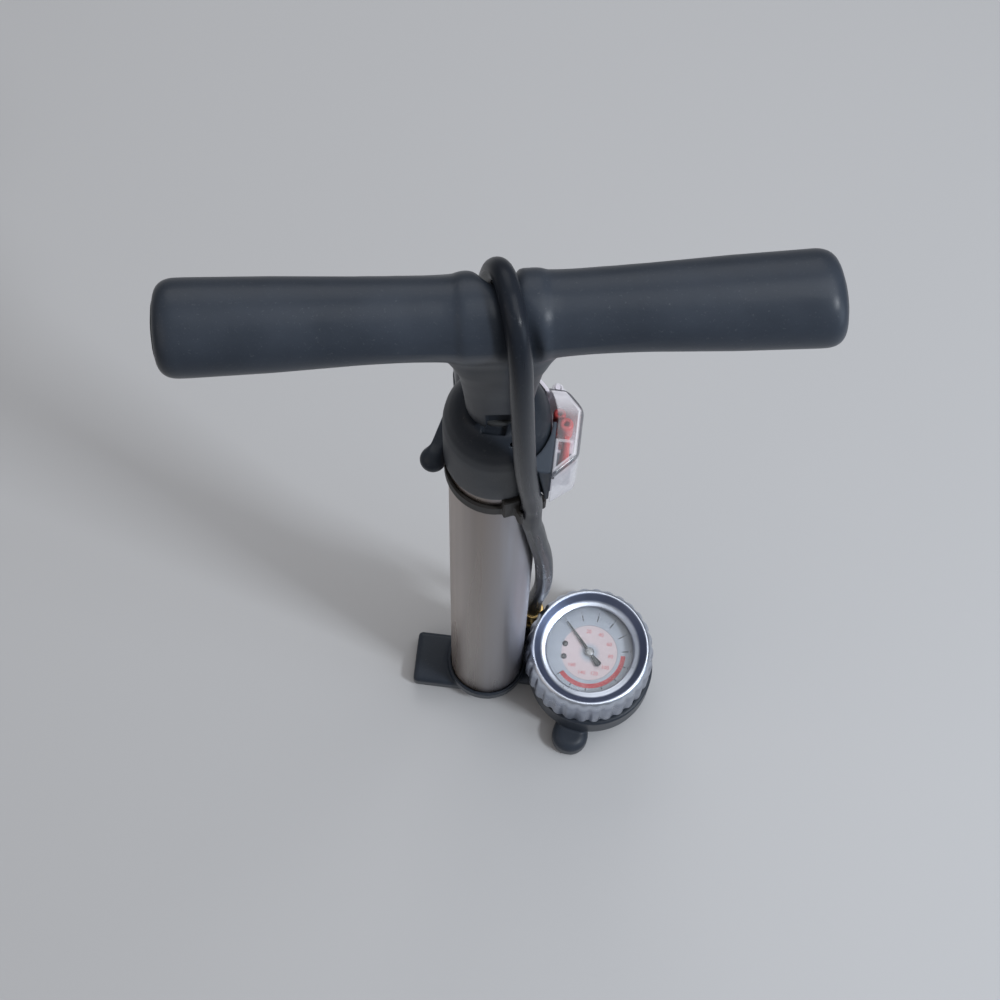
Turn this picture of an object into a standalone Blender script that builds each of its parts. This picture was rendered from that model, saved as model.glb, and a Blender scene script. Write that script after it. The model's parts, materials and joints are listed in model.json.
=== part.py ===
"""Floor bike pump: steel barrel on a three-toed base, T-handle, dial gauge, hose over the handle, accessory case.

Metres, +Z up. The origin is on the floor, on the barrel's axis. +X runs from the barrel to the gauge.
"""

import math

import bmesh
import bpy
from mathutils import Matrix, Vector

for old in list(bpy.data.objects):
    bpy.data.objects.remove(old, do_unlink=True)

# Clearances
GAP = 0.0003  # between pieces that seat on each other
RUN = 0.0003  # between pieces that slide or turn

# Feet and base
PAD_H = 0.0030
FLOOR_H = 0.0107  # base material under the barrel socket
SOCKET_DEPTH = 0.0062
SOCKET_WALL = 0.0016
HUB_FOOT_R = 0.0165  # hub narrows to this under the socket
HEEL_REACH = 0.0383
HEEL_WIDTH = 0.0275
HEEL_SHIFT = -0.0018  # heel's middle, across
HEEL_H = 0.0095
TOE_X = 0.0490
TOE_Y = 0.0345
TOE_R = 0.0095
TOE_H = 0.0120
ARM_WIDTH = 0.0155
ARM_H = 0.0105
WEB_WIDTH = 0.0170
PEDESTAL_R = 0.0115
PEDESTAL_H = 0.0328
DISH_INSET = 0.0012  # round housing that carries the gauge, inside the bezel's skirt
CHANNEL_R = 0.0018

# Barrel and check valve
BARREL_DIA = 0.0380
BARREL_WALL = 0.0012
BARREL_LEN = 0.4004
GASKET_H = 0.0010
VALVE_R = 0.0055  # chamber under the seat
VALVE_DEPTH = 0.0080
SEAT_H = 0.0026
POPPET_H = 0.0016
POPPET_LIFT = 0.0015
SPRING_WIRE = 0.0007
SPRING_R = 0.0028
SPRING_TURNS = 3

# Cap, bush, buffer and clip ring
CAP_SKIRT = 0.0360
CAP_WALL = 0.0017
CAP_CROWN = 0.0217  # material over the barrel's end
BUSH_R = 0.0090
BUSH_H = 0.0165
BUFFER_H = 0.0027
BUFFER_R = 0.0095
CLIP_H = 0.0090
CLIP_WALL = 0.0014
CLIP_DROP = 0.0110  # below the cap's rim
PEG_R = 0.0036

# Plunger
ROD_DIA = 0.0100
ROD_WALL = 0.0014
PISTON_H = 0.0160
PISTON_REST = 0.0080  # piston face above the barrel gasket
RING_H = 0.0055
RING_DEPTH = 0.0027
SCREW_R = 0.0030

# Handle
HANDLE_YAW = math.radians(10)
HANDLE_LEN = 0.2360
NECK_LEN = 0.0887  # neck's foot to the grip's axis
NECK_FOOT_R = 0.0099
GRIP_END_R = 0.0170
GRIP_MIN_R = 0.0145
COLLAR_R = 0.0156
SADDLE_R = 0.0120
SADDLE_HALF = 0.0110
COLLAR_LEN = 0.0120  # saddle's edge to the plain grip
PLUG_DOME = 0.0062
PLUG_SPIGOT = 0.0110
PIN_R = 0.0015

# Gauge
GAUGE_CLEAR = 0.0009  # bezel to the barrel
SLEEVE_CLEAR = 0.0005  # bezel to the hose's sleeve
STEM_R = 0.0048
FLANGE_H = 0.0012
CUP_R = 0.0311
CUP_H = 0.0250
CUP_WALL = 0.0020
DIAL_DEPTH = 0.0045  # dial's face below the cup's rim
DIAL_T = 0.0010
LENS_T = 0.0020
WINDOW_LIP = 0.0091  # bezel lip, inward from the cup's side
BEZEL_WALL = 0.0020
BEZEL_SKIRT = 0.0245
SCALLOPS = 30
POINTER_REACH = 0.0200
POINTER_TAIL = 0.0085
POINTER_REST = math.radians(131)
SPINDLE_R = 0.0008

# Hose, its ends and the parked pump head
HOSE_R = 0.0042
OUTLET_AT = (0.0215, 0.0235)
OUTLET_BOSS_R = 0.0066
OUTLET_BOSS_H = 0.0180
FITTING_H = 0.0070
FERRULE_H = 0.0160
FERRULE_WALL = 0.0014
HEAD_ANGLE = math.radians(104)
HEAD_OUT = 0.0330  # barrel axis to the head's middle
HEAD_DEPTH = 0.0180
HEAD_WIDTH = 0.0254
HEAD_H = 0.0520
HEAD_DROP = 0.0340  # parking peg's axis above the head's foot
PEG_UP = 0.0095  # parking peg above the cap's rim
SEAL_R = 0.0055
SEAL_LEN = 0.0070
BOOT_H = 0.0140
LEVER_H = 0.0096
LEVER_UP = 0.0141  # lever's foot above the head's foot
LEVER_EYE_R = 0.0045
LEVER_TIP = (-0.0317, 0.0171)  # from the pivot, in the head's frame
LEVER_TIP_R = 0.0053
LEVER_PIN_R = 0.0014

# Accessory case on the cap
CASE_Y = (-0.0165, 0.0145)
CASE_H = 0.0420
CASE_DEPTH = 0.0095
CASE_WALL = 0.0013
TRAY_T = 0.0015
KNUCKLE_R = 0.0022
CASE_PIN_R = 0.0010

STEPS = 24
ROUND_STEPS = 32
SMALL_STEPS = 12

# Heights and radii that follow from the sizes above
base_z = PAD_H + GAP
socket_floor = base_z + FLOOR_H
socket_top = socket_floor + SOCKET_DEPTH
barrel_r = BARREL_DIA / 2
barrel_bore = barrel_r - BARREL_WALL
socket_r = barrel_r + GAP
hub_r = socket_r + SOCKET_WALL
barrel_z0 = socket_floor + GAP + GASKET_H + GAP
barrel_z1 = barrel_z0 + BARREL_LEN
cap_bore = barrel_r + GAP
cap_r = cap_bore + CAP_WALL
cap_z0 = barrel_z1 + GAP - CAP_SKIRT
cap_ceiling = barrel_z1 + GAP
cap_z1 = cap_ceiling + CAP_CROWN
rod_r = ROD_DIA / 2
rod_bore = rod_r - ROD_WALL
neck_z0 = cap_z1 + GAP + BUFFER_H + GAP
handle_z = neck_z0 + NECK_LEN
piston_z0 = barrel_z0 + PISTON_REST
piston_z1 = piston_z0 + PISTON_H
rod_z0 = piston_z0 + PISTON_H / 2
pedestal_z = base_z + PEDESTAL_H
dish_z0 = base_z + ARM_H - 0.0017
cup_z0 = pedestal_z + GAP + FLANGE_H + GAP
cup_z1 = cup_z0 + CUP_H
dial_z = cup_z1 - DIAL_DEPTH
lens_z0 = cup_z1 + GAP
lip_z = lens_z0 + LENS_T + GAP
window_r = CUP_R - WINDOW_LIP
bezel_r = CUP_R + GAP + BEZEL_WALL
dish_r = bezel_r - DISH_INSET
sleeve_r = HOSE_R + FERRULE_WALL
beside_sleeve = math.sqrt(max(0.0, (bezel_r + sleeve_r + SLEEVE_CLEAR) ** 2 - OUTLET_AT[1] ** 2))
gauge_x = max(barrel_r + bezel_r + GAUGE_CLEAR, OUTLET_AT[0] + beside_sleeve)
channel_z = socket_floor - VALVE_DEPTH / 2
outlet_z = base_z + OUTLET_BOSS_H
ferrule_z0 = outlet_z + GAP + FITTING_H + GAP
ferrule_z1 = ferrule_z0 + FERRULE_H
peg_z = cap_z0 + PEG_UP
head_z0 = peg_z - HEAD_DROP
head_z1 = head_z0 + HEAD_H
head_inner = HEAD_OUT - HEAD_DEPTH / 2
boot_z0 = head_z1 + GAP
boot_z1 = boot_z0 + BOOT_H
tray_x = cap_r + GAP + TRAY_T
cover_x0 = tray_x + GAP
cover_x1 = cover_x0 + CASE_DEPTH
case_z0 = cap_z0
case_z1 = case_z0 + CASE_H
shelf_z0 = case_z0 + CASE_WALL + GAP
shelf_z1 = shelf_z0 + 0.0018


def new_collection(name):
    made = bpy.data.collections.new(name)
    bpy.context.scene.collection.children.link(made)
    return made


PARTS = new_collection("floor_bike_pump")
CUTTERS = new_collection("cutters")


def finish(name, colour, roughness, metallic=0.0, transmission=0.0):
    made = bpy.data.materials.new(name)
    made.use_nodes = True
    shader = made.node_tree.nodes["Principled BSDF"]
    shader.inputs["Base Color"].default_value = (*colour, 1.0)
    shader.inputs["Roughness"].default_value = roughness
    shader.inputs["Metallic"].default_value = metallic
    shader.inputs["Transmission Weight"].default_value = transmission
    return made


CHARCOAL = finish("charcoal_plastic", (0.050, 0.056, 0.066), 0.45)
BLACK = finish("black_plastic", (0.022, 0.024, 0.027), 0.5)
RUBBER = finish("rubber", (0.035, 0.037, 0.040), 0.7)
STEEL = finish("satin_steel", (0.62, 0.60, 0.58), 0.25, 1.0)
CHROME = finish("chrome", (0.80, 0.81, 0.83), 0.08, 1.0)
BRASS = finish("brass", (0.70, 0.52, 0.24), 0.3, 1.0)
WHITE = finish("dial_white", (0.85, 0.85, 0.84), 0.5)
RED = finish("red_plastic", (0.62, 0.05, 0.06), 0.35)
CLEAR = finish("clear_plastic", (0.92, 0.93, 0.93), 0.08, 0.0, 0.9)


def empty(name, at=(0, 0, 0), yaw=0.0, parent=None):
    made = bpy.data.objects.new(name, None)
    made.location = at
    made.rotation_euler = (0, 0, yaw)
    made.parent = parent
    PARTS.objects.link(made)
    return made


def put(obj, look, at=(0, 0, 0), aim=None, yaw=0.0, parent=None):
    """Links an object as a part, or as a hidden tool where it has no finish. aim turns its local Z."""
    obj.location = at
    obj.rotation_euler = Vector(aim).to_track_quat("Z", "Y").to_euler() if aim else (0, 0, yaw)
    obj.parent = parent
    if look:
        obj.data.materials.append(look)
        PARTS.objects.link(obj)
    else:
        CUTTERS.objects.link(obj)
        obj.hide_render = True
        obj.display_type = "WIRE"
    return obj


def turned(name, look, profile, ring=False, steps=STEPS, **place):
    """A profile of (radius, height), listed down its outer side, turned about local Z by a Screw modifier."""
    points = [(r, 0.0, z) for r, z in profile]
    edges = [(i, i + 1) for i in range(len(points) - 1)]
    if ring:
        edges.append((len(points) - 1, 0))
    mesh = bpy.data.meshes.new(name)
    mesh.from_pydata(points, edges, [])
    obj = put(bpy.data.objects.new(name, mesh), look, **place)
    turn = obj.modifiers.new("turn", "SCREW")
    turn.steps = steps
    turn.render_steps = steps
    turn.use_merge_vertices = True
    turn.merge_threshold = 0.00001
    return obj


def disc(name, look, radius, z0, z1, steps=STEPS, **place):
    return turned(name, look, [(0, z1), (radius, z1), (radius, z0), (0, z0)], steps=steps, **place)


def ring(name, look, inner, outer, z0, z1, steps=STEPS, **place):
    profile = [(inner, z1), (outer, z1), (outer, z0), (inner, z0)]
    return turned(name, look, profile, ring=True, steps=steps, **place)


def block(name, look, low, high, edge=0.0, segments=3, **place):
    """A box between two corners, its edges rounded by a Bevel modifier."""
    low, high = Vector(low), Vector(high)
    mesh = bpy.data.meshes.new(name)
    shape = bmesh.new()
    size = Matrix.Diagonal((*(high - low), 1.0))
    bmesh.ops.create_cube(shape, size=1.0, matrix=Matrix.Translation((low + high) / 2) @ size)
    shape.to_mesh(mesh)
    shape.free()
    obj = put(bpy.data.objects.new(name, mesh), look, **place)
    if edge:
        soften(obj, edge, segments)
    return obj


def soften(obj, width, segments=3):
    bevel = obj.modifiers.new("round", "BEVEL")
    bevel.width = width
    bevel.segments = segments
    bevel.limit_method = "ANGLE"


def bar(name, look, start, end, width, z0, z1, edge=0.0, **place):
    """A flat bar along the floor from start to end."""
    start, end = Vector(start), Vector(end)
    run = end - start
    reach = run.length / 2
    middle = (start + end) / 2
    return block(name, look, (-reach, -width / 2, z0), (reach, width / 2, z1), edge,
                 at=(middle.x, middle.y, 0), yaw=math.atan2(run.y, run.x), **place)


def rod_between(name, look, start, end, radius, steps=SMALL_STEPS, **place):
    start, end = Vector(start), Vector(end)
    return disc(name, look, radius, 0.0, (end - start).length, steps, at=start, aim=end - start, **place)


def loft(name, look, rings, **place):
    """Bridges a stack of closed rings of points and caps both ends."""
    shape = bmesh.new()
    loops = []
    for points in rings:
        corners = [shape.verts.new(p) for p in points]
        loops.append([shape.edges.new((a, b)) for a, b in zip(corners, corners[1:] + corners[:1])])
        if points is rings[0] or points is rings[-1]:
            shape.faces.new(corners)
    for below, above in zip(loops, loops[1:]):
        bmesh.ops.bridge_loops(shape, edges=below + above)
    bmesh.ops.recalc_face_normals(shape, faces=shape.faces)
    mesh = bpy.data.meshes.new(name)
    shape.to_mesh(mesh)
    shape.free()
    return put(bpy.data.objects.new(name, mesh), look, **place)


def merged(name, shapes, **place):
    """One hidden tool made of several, for a pattern of cuts."""
    mesh = bpy.data.meshes.new(name)
    gathered = bmesh.new()
    for matrix, radius, height in shapes:
        bmesh.ops.create_cone(gathered, cap_ends=True, segments=6, radius1=radius, radius2=radius,
                              depth=height, matrix=matrix)
    gathered.to_mesh(mesh)
    gathered.free()
    return put(bpy.data.objects.new(name, mesh), None, **place)


def combine(obj, operation, tools):
    for tool in tools:
        step = obj.modifiers.new(operation.lower() + "_" + tool.name, "BOOLEAN")
        step.operation = operation
        step.solver = "EXACT"
        step.object = tool


def cut(obj, *tools):
    combine(obj, "DIFFERENCE", tools)


def join(obj, *tools):
    combine(obj, "UNION", tools)


def tube(name, look, points, radius, resolution=2, **place):
    curve = bpy.data.curves.new(name, "CURVE")
    curve.dimensions = "3D"
    curve.bevel_depth = radius
    curve.bevel_resolution = resolution
    curve.use_fill_caps = True
    spline = curve.splines.new("POLY")
    spline.points.add(len(points) - 1)
    for target, point in zip(spline.points, points):
        target.co = (*point, 1.0)
    return put(bpy.data.objects.new(name, curve), look, **place)


def smooth_through(points, pieces):
    """A Catmull-Rom curve through the points, read off at this many places in each stretch."""
    held = [Vector(p) for p in points]
    held = [2 * held[0] - held[1]] + held + [2 * held[-1] - held[-2]]
    found = []
    for a, b, c, d in zip(held, held[1:], held[2:], held[3:]):
        for i in range(pieces):
            t = i / pieces
            found.append(0.5 * (2 * b + (c - a) * t + (2 * a - 5 * b + 4 * c - d) * t**2
                                + (3 * b - a - 3 * c + d) * t**3))
    return found + [held[-2]]


def thinned(points, reach, turn, lead):
    """Keeps the points of a fine curve that lie a reach apart, or closer where it has turned, and a lead at each end."""
    kept = [points[0], points[lead]]
    heading = points[lead + 1] - points[lead]
    for here, after in zip(points[lead + 1:-lead - 1], points[lead + 2:]):
        if (here - kept[-1]).length > reach or (after - here).angle(heading) > turn:
            kept.append(here)
            heading = after - here
    if (points[-1 - lead] - kept[-1]).length < reach / 2:
        kept.pop()
    return kept + [points[-1 - lead], points[-1]]


def make_base():
    """Base moulding: barrel socket, heel, toes, gauge pedestal and hose boss, with air channels.

    Every form is sunk below the base's underside by its own amount and one cut trims them all level.
    """
    sunk = [base_z - 0.0040 - 0.0004 * i for i in range(10)]
    base = turned("base_body", CHARCOAL, [
        (0, socket_top), (hub_r - 0.0006, socket_top), (hub_r, socket_top - 0.0006), (hub_r, base_z + HEEL_H - 0.0012),
        (HUB_FOOT_R, base_z + 0.0005), (HUB_FOOT_R, sunk[0]), (0, sunk[0]),
    ])
    heel = block("heel_form", None, (-HEEL_REACH, HEEL_SHIFT - HEEL_WIDTH / 2, sunk[1]),
                 (0, HEEL_SHIFT + HEEL_WIDTH / 2, base_z + HEEL_H), 0.0028)
    web = block("pedestal_web_form", None, (0, -WEB_WIDTH / 2, sunk[2]),
                (gauge_x, WEB_WIDTH / 2, base_z + ARM_H + 0.0011), 0.0018)
    foot_r = PEDESTAL_R + 0.004
    pedestal = turned("pedestal_form", None, [
        (0, pedestal_z), (dish_r - 0.0012, pedestal_z), (dish_r, pedestal_z - 0.0012), (dish_r, dish_z0 + 0.0060),
        (dish_r - 0.0050, dish_z0), (foot_r, dish_z0), (foot_r, sunk[3]), (0, sunk[3]),
    ], steps=ROUND_STEPS, at=(gauge_x, 0, 0))
    boss = turned("outlet_boss_form", None, [
        (0, outlet_z), (OUTLET_BOSS_R - 0.0008, outlet_z), (OUTLET_BOSS_R, outlet_z - 0.0008),
        (OUTLET_BOSS_R, sunk[4]), (0, sunk[4]),
    ], steps=SMALL_STEPS, at=(*OUTLET_AT, 0))
    boss_web = bar("outlet_web_form", None, (0, 0), OUTLET_AT, 0.0110, sunk[5], base_z + ARM_H - 0.0013, 0.0014)
    join(base, heel, web, pedestal, boss, boss_web)
    join(base, bar("crossbar_form", None, (TOE_X, -TOE_Y), (TOE_X, TOE_Y), ARM_WIDTH, sunk[8], base_z + ARM_H, 0.0022))
    for side, name, low in ((-1, "near", sunk[6]), (1, "far", sunk[7])):
        join(base, turned("toe_form_" + name, None, [
            (0, base_z + TOE_H), (0.55 * TOE_R, base_z + TOE_H - 0.0006), (0.86 * TOE_R, base_z + TOE_H - 0.003),
            (TOE_R, base_z + TOE_H - 0.0066), (TOE_R, low - 0.001), (0, low - 0.001),
        ], steps=SMALL_STEPS, at=(TOE_X, side * TOE_Y, 0)))
    cut(base, block("underside_cut", None, (-0.1, -0.1, base_z - 0.02), (0.12, 0.1, base_z)))
    for side, name in ((-1, "near"), (1, "far")):
        cut(base, bar("arm_pocket_" + name, None, (TOE_X, side * (foot_r + 0.0045)), (TOE_X, side * (TOE_Y - TOE_R - 0.0005)),
                      ARM_WIDTH - 0.0055, base_z - 0.002, base_z + ARM_H - 0.0040))
    low = socket_floor - VALVE_DEPTH
    cut(base,
        disc("socket_cut", None, socket_r, socket_floor, socket_top + 0.002),
        disc("valve_chamber_cut", None, VALVE_R, low, socket_floor + 0.002, SMALL_STEPS),
        disc("stem_cut", None, STEM_R + GAP, channel_z - CHANNEL_R - 0.0004, pedestal_z + 0.002, SMALL_STEPS,
             at=(gauge_x, 0, 0)),
        disc("outlet_cut", None, CHANNEL_R + 0.0004, channel_z - CHANNEL_R - 0.0006, outlet_z + 0.002, 12,
             at=(*OUTLET_AT, 0)),
        rod_between("gauge_channel_cut", None, (0, 0, channel_z), (gauge_x, 0, channel_z), CHANNEL_R, 12),
        rod_between("outlet_channel_cut", None, (0, 0, channel_z), (*OUTLET_AT, channel_z), CHANNEL_R, 12))


def make_feet():
    disc("centre_pad", RUBBER, hub_r - 0.006, 0, PAD_H, SMALL_STEPS)
    half = HEEL_WIDTH / 2 - 0.003
    block("heel_pad", RUBBER, (-HEEL_REACH + 0.003, HEEL_SHIFT - half, 0),
          (-HEEL_REACH + 0.011, HEEL_SHIFT + half, PAD_H), 0.0006, 1)
    for side, name in ((-1, "near"), (1, "far")):
        disc("toe_pad_" + name, RUBBER, TOE_R - 0.0015, 0, PAD_H, SMALL_STEPS, at=(TOE_X, side * TOE_Y, 0))


def make_check_valve():
    """Seat on the socket's floor, a poppet that is pressed up against it, and the poppet's spring."""
    ring("valve_seat", BRASS, 0.0030, VALVE_R + 0.0035, socket_floor + GAP, socket_floor + GAP + SEAT_H, SMALL_STEPS)
    top = socket_floor
    low = socket_floor - VALVE_DEPTH
    turned("valve_poppet", RUBBER, [
        (0, top), (VALVE_R - 0.0008, top), (VALVE_R - 0.0008, top - POPPET_H), (0.0012, top - POPPET_H),
        (0.0012, low + POPPET_LIFT + 0.0005), (0, low + POPPET_LIFT + 0.0005),
    ], steps=SMALL_STEPS)
    wire = SPRING_WIRE / 2
    z0 = low + GAP + wire
    z1 = top - POPPET_H - GAP - wire
    count = 9 * SPRING_TURNS
    turns = [(SPRING_R * math.cos(2 * math.pi * i / 9), SPRING_R * math.sin(2 * math.pi * i / 9),
              z0 + (z1 - z0) * i / count) for i in range(count + 1)]
    tube("valve_spring", STEEL, turns, wire, 1)
    print("valve spring, least gap between turns, mm:", round(((z1 - z0) / SPRING_TURNS - SPRING_WIRE) * 1000, 2))


def make_barrel():
    ring("barrel_gasket", RUBBER, barrel_r - 0.003, barrel_r, socket_floor + GAP, socket_floor + GAP + GASKET_H)
    ring("barrel_tube", STEEL, barrel_bore, barrel_r, barrel_z0, barrel_z1, ROUND_STEPS)


def make_cap():
    """Cap with a domed crown over the barrel, a notch at the front and the peg that the pump head parks on."""
    crown = cap_z1 - 0.019
    cap = turned("top_cap", CHARCOAL, [
        (rod_r + 0.0008, cap_z1), (0.55 * cap_r, cap_z1), (0.69 * cap_r, cap_z1 - 0.0015),
        (0.86 * cap_r, cap_z1 - 0.0065), (0.965 * cap_r, cap_z1 - 0.0125), (cap_r, crown),
        (cap_r, cap_z0 + 0.0012), (cap_r - 0.0005, cap_z0), (cap_bore, cap_z0), (cap_bore, cap_ceiling),
        (BUSH_R + GAP, cap_ceiling), (BUSH_R + GAP, cap_ceiling + BUSH_H + 2 * GAP),
        (rod_r + 0.0008, cap_ceiling + BUSH_H + 2 * GAP),
    ], ring=True, steps=ROUND_STEPS)
    outward = Vector((math.cos(HEAD_ANGLE), math.sin(HEAD_ANGLE), 0))
    peg_at = Vector((0, 0, peg_z))
    peg = rod_between("parking_peg_form", None, peg_at + outward * (cap_r - 0.001),
                      peg_at + outward * (head_inner + SEAL_LEN + 0.002), PEG_R)
    join(cap, peg)
    cut(cap,
        block("crown_notch_cut", None, (-0.0045, -0.0135, cap_z1 - 0.0035), (0.0040, -0.0085, cap_z1 + 0.002)),
        rod_between("crown_hole_cut", None, (0.0060, -0.0135, cap_z1 - 0.0085), (0.0075, -0.0185, cap_z1),
                    0.0009, 12))
    ring("rod_bush", BLACK, rod_r + RUN, BUSH_R, cap_ceiling + GAP, cap_ceiling + GAP + BUSH_H, SMALL_STEPS)
    ring("buffer_ring", RUBBER, rod_r + 0.0006, BUFFER_R, cap_z1 + GAP, cap_z1 + GAP + BUFFER_H, STEPS)


def make_clip_ring():
    """Band round the barrel with a rib up to the cap and an open half-round that the hose lies in."""
    z1 = cap_z0 - CLIP_DROP
    z0 = z1 - CLIP_H
    band = disc("hose_clip_ring", BLACK, barrel_r + GAP + CLIP_WALL, z0, z1, ROUND_STEPS)
    rib = block("clip_rib_form", None, (barrel_r - 0.002, -0.0035, z0 + 0.0007), (barrel_r + 0.0034, 0.0035, cap_z0 - GAP),
                0.0008, 2, yaw=math.radians(-66))
    x, y, _ = HOSE_ROUTE[HOSE_CLIP]
    away = math.hypot(x, y)
    low, high = z0 + 0.0004, z1 + 0.0030
    holder = disc("clip_holder_form", None, HOSE_R + 0.0024, low, high, SMALL_STEPS, at=(x, y, 0))
    cut(holder, block("clip_mouth_cut", None, (away + 0.0010, -0.012, low - 0.001), (away + 0.012, 0.012, high + 0.001),
                      yaw=math.atan2(y, x)))
    join(band, rib, holder)
    cut(band,
        disc("clip_hose_cut", None, HOSE_R + 2 * GAP, z0 - 0.0013, high + 0.0013, 18, at=(x, y, 0), yaw=0.07),
        disc("clip_barrel_cut", None, barrel_r + GAP, z0 - 0.002, cap_z0 + 0.001, ROUND_STEPS))


def make_piston():
    groove = barrel_bore - RUN - RING_DEPTH
    middle = (piston_z0 + piston_z1) / 2
    turned("piston", BLACK, [
        (rod_r + GAP, piston_z1), (barrel_bore - 2 * RUN, piston_z1),
        (barrel_bore - 2 * RUN, middle + RING_H / 2 + GAP), (groove, middle + RING_H / 2 + GAP),
        (groove, middle - RING_H / 2 - GAP), (barrel_bore - 2 * RUN, middle - RING_H / 2 - GAP),
        (barrel_bore - 2 * RUN, piston_z0), (SCREW_R + GAP, piston_z0), (SCREW_R + GAP, rod_z0 - GAP),
        (rod_r + GAP, rod_z0 - GAP),
    ], ring=True)
    low, high = middle - RING_H / 2, middle + RING_H / 2
    turned("piston_ring", RUBBER, [
        (groove + GAP, high), (barrel_bore - RUN - 0.0006, high), (barrel_bore - RUN, high - 0.0012),
        (barrel_bore - RUN, low + 0.0012), (barrel_bore - RUN - 0.0006, low), (groove + GAP, low),
    ], ring=True)
    head_z = piston_z0 - GAP
    turned("piston_screw", STEEL, [
        (0, rod_z0 + 0.014), (SCREW_R, rod_z0 + 0.014), (SCREW_R, head_z), (0.0058, head_z), (0.0058, head_z - 0.0020),
        (0.0050, head_z - 0.0028), (0, head_z - 0.0028),
    ], steps=SMALL_STEPS)


def grip_profile():
    """(radius, distance along the grip) from one flat end to the other: flare, collar, saddle, collar, flare."""
    end = HANDLE_LEN / 2 - PLUG_DOME
    flare = GRIP_END_R - GRIP_MIN_R
    root = SADDLE_HALF + COLLAR_LEN
    run = end - root
    half = [
        (GRIP_END_R - 0.0006, end), (GRIP_END_R, end - 0.06 * run), (GRIP_END_R - 0.22 * flare, end - 0.38 * run),
        (GRIP_MIN_R + 0.35 * flare, end - 0.68 * run), (GRIP_MIN_R + 0.06 * flare, end - 0.90 * run),
        (GRIP_MIN_R, root), (GRIP_MIN_R + 0.0003, SADDLE_HALF + 0.58 * COLLAR_LEN),
        (COLLAR_R, SADDLE_HALF + 0.35 * COLLAR_LEN), (COLLAR_R, SADDLE_HALF + 0.15 * COLLAR_LEN),
        (0.55 * (COLLAR_R + SADDLE_R), SADDLE_HALF),
        (SADDLE_R + 0.0004, SADDLE_HALF - 0.0018), (SADDLE_R, SADDLE_HALF - 0.0040),
    ]
    return [(0, end)] + half + [(r, -x) for r, x in reversed(half)] + [(0, -end)]


def neck_rings():
    """Elliptic rings from the neck's foot up into the grip: (height under the grip's axis, half width, half depth)."""
    stations = [
        (-NECK_LEN, NECK_FOOT_R, NECK_FOOT_R), (-0.80 * NECK_LEN, NECK_FOOT_R + 0.0021, NECK_FOOT_R + 0.0013),
        (-0.62 * NECK_LEN, NECK_FOOT_R + 0.0041, NECK_FOOT_R + 0.0026), (-0.0370, 0.0158, 0.0131),
        (-0.0280, 0.0180, 0.0133), (-0.0220, 0.0212, 0.0133), (-0.0178, 0.0250, 0.0131), (-0.0140, 0.0300, 0.0126),
        (-0.0080, 0.0320, 0.0114),
    ]
    around = [2 * math.pi * i / 24 for i in range(24)]
    return [[(wide * math.cos(a), deep * math.sin(a), z) for a in around] for z, wide, deep in stations]


def make_handle():
    """One-piece T-handle: a turned grip with a hose saddle, blended into a tapering neck, on the rod."""
    pivot = empty("handle_axis", (0, 0, handle_z), HANDLE_YAW)
    handle = turned("handle", CHARCOAL, grip_profile(), steps=24, aim=(1, 0, 0), parent=pivot)
    join(handle, loft("neck_form", None, neck_rings(), parent=pivot))
    end = HANDLE_LEN / 2 - PLUG_DOME
    socket = 0.70 * GRIP_END_R
    rod_top = -0.0420
    pin_z = -0.0600
    bore = disc("rod_bore_cut", None, rod_r + GAP / 2, -NECK_LEN - 0.002, rod_top + GAP, SMALL_STEPS, parent=pivot)
    pin_hole = rod_between("pin_hole_cut", None, (0, -0.03, pin_z), (0, 0.03, pin_z), PIN_R + GAP / 2, 12, parent=pivot)
    cut(handle, bore, pin_hole)
    for side, name in ((1, "right"), (-1, "left")):
        along = (side, 0, 0)
        cut(handle, disc("plug_cut_" + name, None, socket + GAP, end - PLUG_SPIGOT - GAP, end + 0.002, 24,
                         aim=along, parent=pivot))
        flange = GRIP_END_R - 0.0006
        turned("grip_plug_" + name, CHARCOAL, [
            (0, end + PLUG_DOME), (0.40 * flange, end + 0.95 * PLUG_DOME), (0.72 * flange, end + 0.72 * PLUG_DOME),
            (0.92 * flange, end + 0.38 * PLUG_DOME), (flange, end + GAP), (socket, end + GAP),
            (socket, end - PLUG_SPIGOT), (0, end - PLUG_SPIGOT),
        ], steps=24, aim=along, parent=pivot)
    rod = ring("piston_rod", STEEL, rod_bore, rod_r, rod_z0 - handle_z, rod_top, SMALL_STEPS, parent=pivot)
    cut(rod, pin_hole)
    depth = NECK_FOOT_R + 0.0015
    rod_between("rod_pin", STEEL, (0, -depth, pin_z), (0, depth, pin_z), PIN_R, 12, parent=pivot)


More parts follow.
